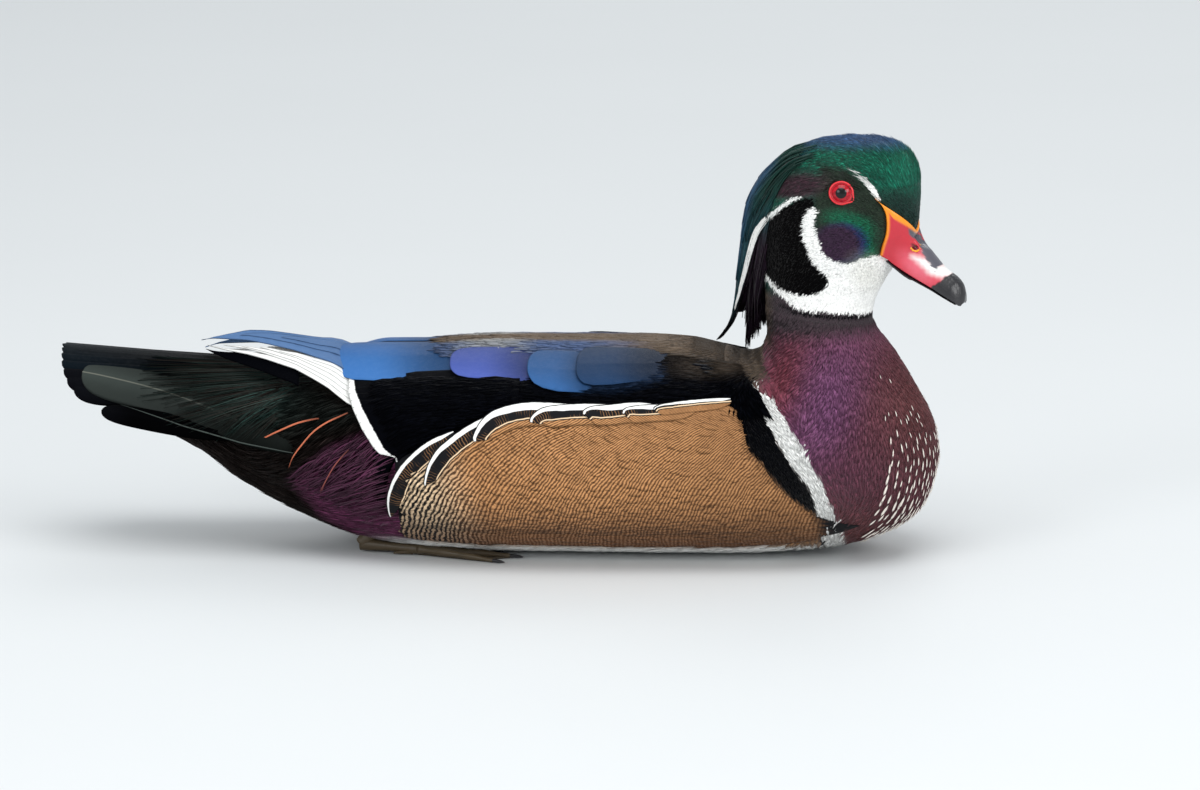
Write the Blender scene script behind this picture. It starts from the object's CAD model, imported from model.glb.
"""A drake wood duck afloat, as a still, life-size model.

Skin, feather coat, crest, wings, flanks, tail, bill, eyes and feet.
"""
import math
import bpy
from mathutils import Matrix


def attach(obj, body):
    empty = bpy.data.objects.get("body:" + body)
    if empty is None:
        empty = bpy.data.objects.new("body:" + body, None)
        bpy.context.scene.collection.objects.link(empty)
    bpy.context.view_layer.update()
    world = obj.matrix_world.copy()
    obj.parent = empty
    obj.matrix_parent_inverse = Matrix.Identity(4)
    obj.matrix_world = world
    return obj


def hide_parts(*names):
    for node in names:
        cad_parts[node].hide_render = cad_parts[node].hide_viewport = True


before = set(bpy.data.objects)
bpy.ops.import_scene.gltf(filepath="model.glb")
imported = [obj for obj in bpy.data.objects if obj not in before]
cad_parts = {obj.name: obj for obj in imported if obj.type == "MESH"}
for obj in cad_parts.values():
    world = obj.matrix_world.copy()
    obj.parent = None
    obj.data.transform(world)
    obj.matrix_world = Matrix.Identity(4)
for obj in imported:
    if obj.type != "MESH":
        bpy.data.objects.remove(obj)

from types import SimpleNamespace

import bpy
import numpy as np
from bpy.props import FloatProperty, FloatVectorProperty, IntProperty, PointerProperty

bl_info = {
    "name": "Wood Duck",
    "version": (1, 0, 0),
    "blender": (4, 5, 0),
    "location": "3D View > Sidebar > Wood Duck",
    "description": "Makes a drake wood duck afloat, feather by feather",
    "category": "Object",
}

# The body's form, in millimetres, as the solids have it. A slice runs from a point on the back to one on the belly or
# forehead: back x, back z, belly x, belly z, half-width, where it is widest, and how square it is above and below.
MM = 0.001
GAP = 0.35
SLICES = np.array([
    [-200, 74, -198, 64.5, 7, 0.5, 2, 2], [-180, 82, -177, 57.5, 17, 0.5, 2, 2], [-155, 83, -150, 44, 26, 0.45, 2, 2],
    [-130, 82.5, -126, 27.5, 34, 0.45, 2.1, 2], [-104, 84, -95, 12, 44, 0.47, 2.2, 2],
    [-68, 89, -62, 2, 56, 0.5, 2.4, 2.05], [-22, 93, -20, -1.2, 64, 0.52, 2.5, 2.1],
    [30, 95, 30, -1.2, 66, 0.53, 2.5, 2.15], [74, 97, 78, -1.2, 64.5, 0.54, 2.4, 2.15],
    [97, 97.5, 125, -0.4, 63, 0.54, 2.2, 2.1], [110, 96, 165, 5, 61, 0.53, 2.1, 2.05],
    [116, 97.5, 193, 19, 57, 0.52, 2, 2], [119, 100.5, 203, 42, 51, 0.5, 2, 2],
    [120.5, 104, 201.5, 62, 44, 0.48, 2, 2], [121.5, 108, 193, 80.5, 36.5, 0.46, 2, 2],
    [121.5, 113, 183.5, 96, 29.5, 0.46, 2, 2], [121, 119, 174.5, 109.5, 24, 0.47, 2, 2],
    [120, 127, 175, 121, 21.5, 0.48, 2, 2], [118.5, 137, 180.5, 132.5, 21, 0.48, 2, 2],
    [117.5, 148, 188, 144, 21.5, 0.48, 2, 1.9], [118, 160, 195, 157, 21, 0.5, 2.1, 1.9],
    [120.5, 171, 196.8, 169.5, 20, 0.52, 2.2, 2], [124.5, 181.5, 196.8, 180.5, 18, 0.53, 2.2, 2.1],
    [131, 190.5, 194.6, 190, 15.4, 0.53, 2.2, 2.1], [140, 197.2, 189.5, 196.8, 12, 0.53, 2.1, 2.1],
    [151, 201.2, 181, 201, 7.4, 0.52, 2, 2], [163.5, 202.8, 168.5, 202.8, 1.2, 0.5, 2, 2],
])
CROWN = len(SLICES) - 1
HEAD_TURN = math.radians(14)
NECK_AXIS_X = 148
# The turned head sits this far behind the solids' head, and its crown this far below theirs
HEAD_BACK = 1.8
CROWN_DROP = 1.4
EYE = np.array([162.5, -14.2, 176.2])
EYE_R = 6.6
EYE_CORNER = math.radians(-33)
NOSTRIL = (196.3, 149.9)
NOSTRIL_TILT = math.radians(-42)
NOSTRIL_LEFT_DROP = 1.8
# Rows along the bill: x, top of the upper half, line of the mouth, half-width, depth of the lower half
BILL = np.array([
    [176, 158, 148.5, 9.2, 3.4], [185, 160.5, 142.8, 9.8, 3.2], [194.4, 156.2, 137, 9.6, 2.8],
    [203.8, 146, 131.8, 8.9, 2.2], [210, 138.8, 128, 8.4, 1.8], [215, 135.4, 124.8, 7.2, 1.4],
    [218.2, 132, 122.4, 4.8, 1], [219.6, 128, 124, 2, 1],
])
# The flank, from the side: its front edge along the black bar, and the outline of its fine-lined part
FLANK_FRONT = [(111, 79), (113, 69), (116, 58), (123, 51), (128.5, 43.4), (137, 35), (146, 27.3), (148.5, 20), (150, 8)]
FLANK_LINED = [
    (-49, -8), (-47, 28), (-44, 40), (-38, 47), (-32, 48), (-28, 53), (-21, 58), (-8, 65), (3, 69), (12, 70.6),
    (37, 71), (56, 71.5), (78, 72.5), (92, 76), (109, 79), (113, 69), (116, 58), (123, 51), (128.5, 43.4), (137, 35),
    (146, 27.3), (148.5, 20), (150, 4), (150, -8),
]
# White bands along the flank's upper edge, each from its front to its rear end, with the widths of its white and of
# the black below
CRESCENTS = [
    ([(-24, 67), (-29.2, 64.3), (-35, 61.3), (-41.7, 56.4), (-47.5, 50.4), (-51.3, 44.5), (-53.7, 38.6), (-55.2, 32),
      (-55, 24)], 1.9, 5.5),
    ([(2, 77), (-8.9, 72.3), (-17.5, 67.8), (-25.2, 62.3), (-31, 56.9), (-34.9, 50), (-37.3, 42)], 2.6, 4.6),
    ([(34, 78.6), (22.9, 78.3), (11.4, 78.1), (1.8, 76.5), (-5, 74), (-8.8, 71), (-11.7, 67.1), (-14, 63)], 4.3, 3.6),
    ([(52, 78.9), (39.3, 78.4), (30.6, 77.9), (21, 76.8), (16.2, 75.2), (12.3, 71.8)], 3.5, 3.1),
    ([(70, 79.6), (59.5, 79.2), (49.8, 78.1), (41, 77.2), (37, 75.6)], 3.3, 2.7),
    ([(90, 81), (78.7, 79.4), (65.2, 78.3), (58.5, 77.4), (55.5, 76.2)], 2.7, 1.7),
    ([(106, 83), (93.1, 81.8), (83.4, 80.7), (73.8, 79.2), (70, 78)], 1.6, 0.4),
]
# Which way the feathers lie, seen from the side: x, z, and the direction there
LIE = np.array([
    (193, 185, -.3, .95), (186, 196, -.85, .5), (165, 203, -1, 0), (140, 197, -.8, -.6), (124, 180, -.35, -.94),
    (118, 155, -.05, -1), (119, 135, -.1, -1), (183, 172, -.75, .65), (172, 186, -.95, .3), (152, 189, -.97, -.22),
    (135, 172, -.75, -.66), (172, 166, -1, .1), (150, 165, -.95, -.3), (178, 150, -.95, -.3), (160, 148, -.9, -.45),
    (140, 150, -.75, -.66), (180, 138, -.5, -.85), (165, 130, -.5, -.85), (145, 130, -.6, -.8), (170, 116, -.2, -.98),
    (145, 116, -.3, -.95), (125, 116, -.3, -.95), (165, 95, -.12, -1), (140, 95, -.45, -.9), (195, 75, -.05, -1),
    (170, 70, -.3, -.95), (145, 65, -.6, -.8), (190, 30, -.5, -.87), (165, 25, -.7, -.7), (118, 95, -.9, -.4),
    (95, 97, -1, 0), (30, 95, -1, 0), (-40, 92, -1, 0), (60, 30, -1, 0), (-30, 30, -1, 0), (-60, 66, -.72, -.7),
    (-75, 50, -.8, -.6), (-62, 30, -.93, -.36), (-85, 75, -.85, -.5), (-95, 40, -.93, -.36), (-115, 75, -.97, -.2),
    (-150, 80, -1, .05), (-100, 20, -.92, .35), (-140, 45, -.88, .45), (-180, 65, -.95, .3), (0, 0, -1, 0),
    (120, 0, -1, .02), (119, 86, .35, -.94), (126, 74, .55, -.83), (134, 62, .57, -.82), (142, 50, .55, -.84),
    (148, 38, .42, -.9), (152, 24, .28, -.96), (154, 8, .1, -1),
])

# Markings, seen from the side of the unturned bird
THROAT = [
    (149, 168.8), (151.6, 166.7), (150, 162.6), (150, 159.4), (151.6, 154.6), (153.7, 148.7), (156, 145.5),
    (159.8, 143.2), (165.9, 141.6), (169.2, 142.3), (172.3, 144), (176.4, 145.3), (181, 146), (192, 141), (192, 128),
    (181, 119), (178, 115.6), (172, 114.5), (164.6, 116.4), (153.1, 117.7), (147.3, 117.6), (142.1, 118.8),
    (136.8, 121.4), (131.1, 124.9), (125.9, 128.2), (122.1, 131.6), (118.6, 136.5), (123.1, 133.5), (126.8, 130.9),
    (132.2, 127.4), (138.9, 125.9), (145.4, 125.5), (151.3, 126.3), (155.2, 128.7), (156.9, 131.7), (156.7, 133.7),
    (154.9, 136.1), (152.4, 138.5), (149.4, 141.8), (147.4, 146), (145.5, 150.4), (143.6, 155), (143.5, 159.9),
    (144.7, 164.3), (146.6, 167.7),
]
EAR = [
    (131, 165), (135, 168), (138.4, 170), (142.5, 172), (147.7, 173), (149.7, 171.3), (149.5, 168), (148, 150),
    (158, 141), (160, 132), (156, 125), (145, 123), (138.9, 124), (130, 127.5), (123.1, 132.5), (118, 136.1),
    (116, 146), (119, 153), (124.6, 160),
]
CREST_LINE = [
    (142.5, 173), (138.2, 171.5), (133.8, 168.3), (129.3, 164.7), (124.6, 160.6), (120.5, 155.4), (118.1, 149.4),
    (116, 144), (113.4, 136), (110.4, 127), (107, 117), (104, 108),
]
CREST_LINE_HALF = [0.35, 0.7, 0.95, 1.1, 1.2, 1.25, 1.25, 1.1, 1, 0.8, 0.5, 0.2]
# The crest's outer and inner edge from the side, and its half-width, from the crown to its tip
CREST_OUTER = [
    (148, 200.5), (134.7, 195.8), (123.6, 186.3), (116.5, 177.1), (112.0, 167), (109.8, 156.1), (108.5, 144.3),
    (107, 131.5), (106, 119.7), (103.3, 107.8), (96.5, 98.2),
]
CREST_INNER = [
    (150, 192), (140, 187), (134, 179.5), (130.5, 171.5), (126, 162.5), (121.5, 153), (118.5, 143), (116, 131.5),
    (113, 120), (108.5, 109), (101, 99),
]
CREST_SIDE = [14.5, 14.5, 14, 13.5, 12.8, 11.2, 9, 6.8, 4.8, 3, 1]
# The flank's upper edge
FLANK_TOP = [
    (-56.6, 30), (-56, 46.5), (-50.5, 58.3), (-40, 62), (-29.1, 66), (-22.4, 69), (-13.7, 73.7), (-3.1, 77.7),
    (11.3, 79.9), (59, 80), (78.6, 81.2), (93.1, 82.8), (114, 82),
]
# The rear edge of the wing's side, and the inner edge of its white tip
WING_REAR = [
    (-77, 92), (-76.4, 84.9), (-75.9, 79.3), (-72.9, 73.2), (-67.9, 65.1), (-62.1, 57.5), (-58.7, 54.5), (-52, 54),
]
WING_WHITE = [
    (-75.6, 92), (-74.5, 85), (-72.2, 79.3), (-68.1, 71.3), (-62.2, 65.1), (-57.3, 61.5), (-53.4, 57.8), (-51.4, 54),
]
BROW = [(180.6, 174.4), (179, 177.6), (176, 181), (172.8, 184.2), (169.6, 187), (165.8, 188.9)]
BROW_HALF = [0.5, 1.3, 1.35, 0.9, 0.45, 0.12]
BREAST = [
    (119, 99), (121, 106), (121, 112), (172, 112), (178, 112), (210, 70), (210, -5), (150, -5), (152, 27), (141, 54),
    (124, 79), (119, 88),
]
WHITE_BAR = [
    (115.2, 86.6), (125.4, 82.2), (133.5, 70.4), (142.5, 56.7), (149.7, 43.5), (155.1, 27.7), (158.8, 12),
    (160.3, -4), (151, -4), (149.5, 12), (147.4, 27.6), (144.7, 38.7), (136.4, 51), (128.7, 62.9), (120.6, 77.1),
]
BLACK_BAR = [
    (107, 92), (115.5, 87), (121, 77.1), (129, 62.9), (137, 51), (145.2, 38.7), (148, 27.6), (150, 12), (151, -4),
    (148.6, -4), (147.6, 12), (146, 27.3), (137, 34), (128.5, 43.4), (123, 51), (116.1, 58.1), (113.1, 68.9),
    (111, 78.5), (104, 84),
]
MAROON = [(-60, 67), (-48, 60), (-44, 10), (-68, 4), (-90, 16), (-105, 38), (-86, 55)]


# Plain helpers

def ink(red, green, blue):
    """A colour as a painter mixes it (0 to 255), as Blender stores it."""
    return tuple(c / 255 / 12.92 if c < 11 else ((c / 255 + 0.055) / 1.055) ** 2.4 for c in (red, green, blue))


def eased(x, start, end):
    t = np.clip((x - start) / (end - start), 0, 1)
    return t * t * (3 - 2 * t)


def unit(vectors):
    return vectors / np.maximum(np.linalg.norm(vectors, axis=-1, keepdims=True), 1e-9)


def circle(count):
    """Angles spread evenly round a full turn."""
    return np.linspace(0, 2 * math.pi, count, endpoint=False)


def crossed(rows, cols):
    """Every pair of a row's and a column's value, as two long lists."""
    return (grid.ravel() for grid in np.meshgrid(rows, cols, indexing="ij"))


def twice(grid):
    """A grid's values for the two faces of a plate."""
    return np.concatenate([grid.ravel(), grid.ravel()])


def swelling(t, end):
    """Rises from 0 at the root to 1 at the given part of the length."""
    return np.sin(np.clip(t / end, 0, 1) * math.pi / 2)


def reach_along(points, extra=0.0):
    """The distance from the first point, along a line through the points."""
    return np.concatenate([[0], np.cumsum(np.linalg.norm(np.diff(points, axis=0), axis=1) + extra)])


def splined(rows, place):
    """Rows read at fractional places, along a smooth curve through them."""
    place = np.atleast_1d(np.asarray(place, float))
    last = len(rows) - 1
    i = np.clip(np.floor(place).astype(int), 0, last - 1)
    t = (place - i)[:, None]
    a, b, c, d = (rows[np.clip(i + k, 0, last)] for k in (-1, 0, 1, 2))
    return b + 0.5 * t * (c - a + t * (2 * a - 5 * b + 4 * c - d + t * (3 * (b - c) + d - a)))


def through(points, count):
    """A smooth curve through a few points."""
    points = np.asarray(points, float)
    return splined(points, np.linspace(0, len(points) - 1, count))


def turned(points, share=1.0):
    """Points turned with the head about the axis of the neck."""
    angle = -HEAD_TURN * np.asarray(share, float)
    x, y, z = points[..., 0] - NECK_AXIS_X, points[..., 1], points[..., 2]
    along = NECK_AXIS_X - HEAD_BACK * share + x * np.cos(angle) - y * np.sin(angle)
    across = x * np.sin(angle) + y * np.cos(angle)
    return np.stack([along, across, z - CROWN_DROP * share * eased(z, 160, 205)], -1)


def turn_share(place):
    """How much of the head's turn a place on the neck takes part in."""
    return eased(place, 11, 18)


def flat_skin(place, angle):
    """Points of the unturned bird's skin. The angle is 0 on the back, 90 degrees on the right, 180 on the belly."""
    v = splined(SLICES, place)
    c, s = np.cos(angle), np.sin(angle)
    power = np.where(c > 0, v[:, 6], v[:, 7])
    reach = (np.abs(c) ** power + np.abs(s) ** power) ** (-1 / power)
    along = v[:, 5] - c * reach * np.where(c > 0, v[:, 5], 1 - v[:, 5])
    x, z = (v[:, k] + (v[:, k + 2] - v[:, k]) * along for k in (0, 1))
    return np.stack([x, -s * reach * v[:, 4], z], 1)


def skin_frame(place, angle):
    """Skin points and outward normals of the turned bird, with the unturned points and normals."""
    place, angle = np.broadcast_arrays(np.atleast_1d(np.asarray(place, float)), np.asarray(angle, float))
    step = 0.01
    p = np.clip(place, step, CROWN - step)
    flat = flat_skin(place, angle)
    forward = (flat_skin(p + step, angle) - flat_skin(p - step, angle)) / (2 * step)
    around = (flat_skin(p, angle + step) - flat_skin(p, angle - step)) / (2 * step)
    flat_normal = unit(np.cross(around, forward))
    share = turn_share(place)
    normal = turn_only(flat_normal, share)
    return SimpleNamespace(point=turned(flat, share), normal=normal, flat=flat, xz=flat[:, [0, 2]],
                           flat_normal=flat_normal, share=share,
                           area=np.linalg.norm(np.cross(around, forward), axis=1), place=place, angle=angle)


def turn_only(vectors, share):
    """Directions turned with the head, without its shift."""
    axis = np.array([NECK_AXIS_X, 0, 0.0])
    return turned(vectors + axis, share) - turned(axis + 0 * vectors, share)


def lifted(place, angle, lift):
    """Points that stand off the turned skin."""
    f = skin_frame(place, angle)
    return f.point + f.normal * np.reshape(lift, (-1, 1))


def lie_at(flat, normal):
    """The lie of the feathers on the unturned bird."""
    away = (flat[:, None, 0] - LIE[None, :, 0]) ** 2 + (flat[:, None, 2] - LIE[None, :, 1]) ** 2
    weight = 1 / (away + 30) ** 2
    way = weight @ LIE[:, 2:]
    way = np.stack([way[:, 0], np.zeros(len(way)), way[:, 1]], 1)
    way -= np.sum(way * normal, 1, keepdims=True) * normal
    return unit(way)


def axis_x(place):
    """The x of a slice's middle, and place_at its inverse."""
    v = splined(SLICES, place)
    return (v[:, 0] + v[:, 2]) / 2


AXIS_TABLE = (axis_x(np.linspace(0, 10.4, 500)), np.linspace(0, 10.4, 500))


def place_at(x):
    return np.interp(x, *AXIS_TABLE)


def at_side(xz):
    """Places and angles of the points of the right side that show at the given x and z from the side."""
    xz, steps = np.asarray(xz, float), 120
    place, around = place_at(xz[:, 0]), np.radians(np.linspace(2, 178, steps))
    for _ in range(8):
        f = flat_skin(np.repeat(place, steps), np.tile(around, len(xz))).reshape(len(xz), steps, 3)
        angle = np.array([np.interp(-z, -row[:, 2], around) for row, z in zip(f, xz[:, 1])])
        x = np.array([np.interp(a, around, row[:, 0]) for row, a in zip(f, angle)])
        place = np.clip(place + (xz[:, 0] - x) * (place_at(xz[:, 0] + 2) - place_at(xz[:, 0] - 2)) / 5, 0, 12)
    return place, angle


def half_turn(angle):
    """An angle round the body, measured from the back down either side."""
    return np.abs((angle + math.pi) % (2 * math.pi) - math.pi)


def flank_top(x):
    """The angle at which the flank's upper edge runs over the wing."""
    return np.interp(x, [p[0] for p in FLANK_TOP], FLANK_TOP_ANGLES)


def stroke(xz, line, half, soft=0.5):
    """How far points lie inside a painted line whose half-width is given at each of its points."""
    line, best = np.asarray(line, float), np.full(len(xz), -1e3)
    half = np.broadcast_to(half, len(line))
    for i in range(len(line) - 1):
        d = line[i + 1] - line[i]
        t = np.clip((xz - line[i]) @ d / (d @ d), 0, 1)
        away = np.linalg.norm(xz - line[i] - t[:, None] * d, axis=1)
        best = np.maximum(best, half[i] + (half[i + 1] - half[i]) * t - away)
    return eased(best, -soft, soft)


def inside(xz, outline, soft=0.5):
    """How far points lie inside a painted patch."""
    outline = np.asarray(outline, float)
    away, odd = np.full(len(xz), 1e3), np.zeros(len(xz), bool)
    x, z = xz[:, 0], xz[:, 1]
    for a, b in zip(outline, np.roll(outline, -1, 0)):
        d = b - a
        t = np.clip((xz - a) @ d / (d @ d), 0, 1)
        away = np.minimum(away, np.linalg.norm(xz - a - t[:, None] * d, axis=1))
        if a[1] != b[1]:
            odd ^= ((a[1] > z) != (b[1] > z)) & (x < a[0] + (z - a[1]) * d[0] / d[1])
    return eased(np.where(odd, away, -away), -soft, soft)


def spot(xz, centre, radii, tilt=0.0, soft=0.5):
    """A soft oval of paint: 1 at its middle, 0 past its edge."""
    d = xz - np.asarray(centre, float)
    c, s = math.cos(math.radians(tilt)), math.sin(math.radians(tilt))
    r = np.hypot((d[:, 0] * c + d[:, 1] * s) / radii[0], (-d[:, 0] * s + d[:, 1] * c) / radii[1])
    return 1 - eased(r, 1 - soft, 1 + soft * 0.4)


# Sizes and colours that a user may change

def colour(name, words, *rgb):
    return FloatVectorProperty(name=name, description=words, subtype="COLOR", size=3, min=0, max=1, default=ink(*rgb))


def length(name, words, millimetres):
    return FloatProperty(name=name, description=words, subtype="DISTANCE", unit="LENGTH", min=0.0001,
                         default=millimetres * MM)


def share(name, words, value):
    return FloatProperty(name=name, description=words, subtype="FACTOR", min=0, max=2, default=value)


class DuckSizes(bpy.types.PropertyGroup):
    coat_depth: length("Coat depth", "How far the skin lies inside the body's outline", 1.7)
    face_depth: length("Face coat depth", "How far the skin lies inside the head's outline", 0.9)
    face_tuft: length("Face tuft", "Length of the smallest feathers, on the face", 3.2)
    crown_tuft: length("Crown tuft", "Length of the feathers of the crown", 6.6)
    breast_tuft: length("Breast tuft", "Length of the feathers of the breast", 6.2)
    rump_tuft: length("Rump tuft", "Length of the hair-like feathers of the rump", 11.0)
    belly_tuft: length("Belly tuft", "Length of the feathers of the belly", 9.0)
    fleck: length("Breast fleck", "Length of the largest white flecks of the breast", 6.5)
    crest_strand: length("Crest strand", "Width of a strand of the crest", 1.3)
    wave_pitch: length("Flank wave", "Spacing of the fine wavy lines of the flank", 1.8)
    coat_density: share("Coat density", "Share of the full number of tufts", 1.0)
    seed: IntProperty(name="Seed", description="Start of every random draw", default=7, min=1)


class DuckColours(bpy.types.PropertyGroup):
    crown_green: colour("Crown green", "Gloss of the crown", 10, 108, 84)
    crown_deep: colour("Deep green", "Lower crown and the back of the crest", 6, 50, 42)
    crown_blue: colour("Crown blue", "Gloss at the top of the crown", 74, 102, 158)
    crest_teal: colour("Crest teal", "Long feathers of the crest", 8, 54, 62)
    crest_dark: colour("Crest dark", "Lower locks of the crest", 30, 18, 30)
    brow_plum: colour("Plum behind the eye", "Patch behind the eye", 62, 34, 46)
    lore: colour("Lore", "Dark green around the eye", 22, 38, 24)
    cheek_green: colour("Cheek green", "Front of the cheek", 0, 96, 66)
    cheek_blue: colour("Cheek blue", "Rim of the cheek patch", 18, 44, 94)
    cheek_violet: colour("Cheek violet", "Middle of the cheek patch", 48, 25, 50)
    ear_black: colour("Ear black", "Velvet patch behind the bridle", 6, 5, 6)
    white: colour("White", "Throat, collar, bars and lines", 247, 247, 244)
    neck_dark: colour("Neck", "Dark band under the collar", 54, 42, 48)
    nape: colour("Nape", "Back of the neck and mantle", 74, 62, 50)
    breast: colour("Breast", "Purple chestnut of the breast", 104, 58, 78)
    breast_violet: colour("Breast violet", "Gloss at the middle of the breast", 116, 70, 108)
    breast_red: colour("Breast red", "Reddish rear of the breast", 122, 54, 66)
    breast_low: colour("Lower breast", "Front and foot of the breast", 104, 58, 60)
    velvet: colour("Velvet black", "Bars, scapulars and wing", 6, 7, 12)
    buff: colour("Buff", "Ground of the flanks", 208, 151, 99)
    buff_pale: colour("Pale buff", "Ground of the rear flanks", 240, 210, 172)
    wave_dark: colour("Flank lines", "Fine dark lines of the flanks", 84, 52, 28)
    rump: colour("Rump", "Bronze black of the rump", 25, 19, 17)
    rump_green: colour("Rump gloss", "Green gloss over the tail's root", 18, 34, 31)
    maroon: colour("Rump maroon", "Plumes at the side of the rump", 86, 40, 68)
    plume_orange: colour("Orange plume", "Long thin plumes over the rump", 214, 118, 84)
    tertial_blue: colour("Tertial blue", "Blue panels of the wing", 52, 98, 154)
    tertial_violet: colour("Tertial violet", "Violet panels of the wing", 76, 84, 160)
    primary_blue: colour("Primary blue", "Upper webs of the long wing feathers", 88, 120, 164)
    tail_black: colour("Tail black", "Middle feathers of the tail", 11, 12, 16)
    tail_grey: colour("Tail grey", "Outer feathers of the tail", 50, 56, 53)
    shaft: colour("Shaft", "Pale shafts of the outer tail", 138, 138, 126)
    bill_red: colour("Bill red", "Base of the bill", 200, 30, 50)
    bill_pink: colour("Bill pink", "Where the red meets the white", 224, 104, 122)
    bill_orange: colour("Bill orange", "Rim along the feathers", 255, 150, 8)
    bill_grey: colour("Bill grey", "Patch on the bill's ridge", 84, 82, 92)
    nail: colour("Nail", "Tip and lower half of the bill", 30, 29, 33)
    iris: colour("Iris", "Red of the eye", 200, 10, 36)
    lid: colour("Lid", "Bare ring round the eye", 226, 40, 50)
    foot: colour("Foot", "Dull yellow of the legs", 74, 61, 40)
    floor: colour("Floor", "Plain pale floor", 226, 229, 230)


def sizes():
    return bpy.context.scene.duck_sizes


def paints():
    """The colours as plain arrays."""
    source = bpy.context.scene.duck_colours
    return SimpleNamespace(**{key: np.array(getattr(source, key)[:]) for key in DuckColours.__annotations__})


# The plumage's markings, alike on the skin and on the coat

class Painted:
    """Colour and gloss at each of some points, with paint laid over them in turn."""

    def __init__(self, count, ground, gloss=0.2):
        self.tint = np.tile(ground, (count, 1))
        self.gloss = np.full(count, gloss)

    def lay(self, cover, paint, gloss=None):
        self.tint += cover[:, None] * (paint - self.tint)
        if gloss is not None:
            self.gloss += cover * (gloss - self.gloss)


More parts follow.
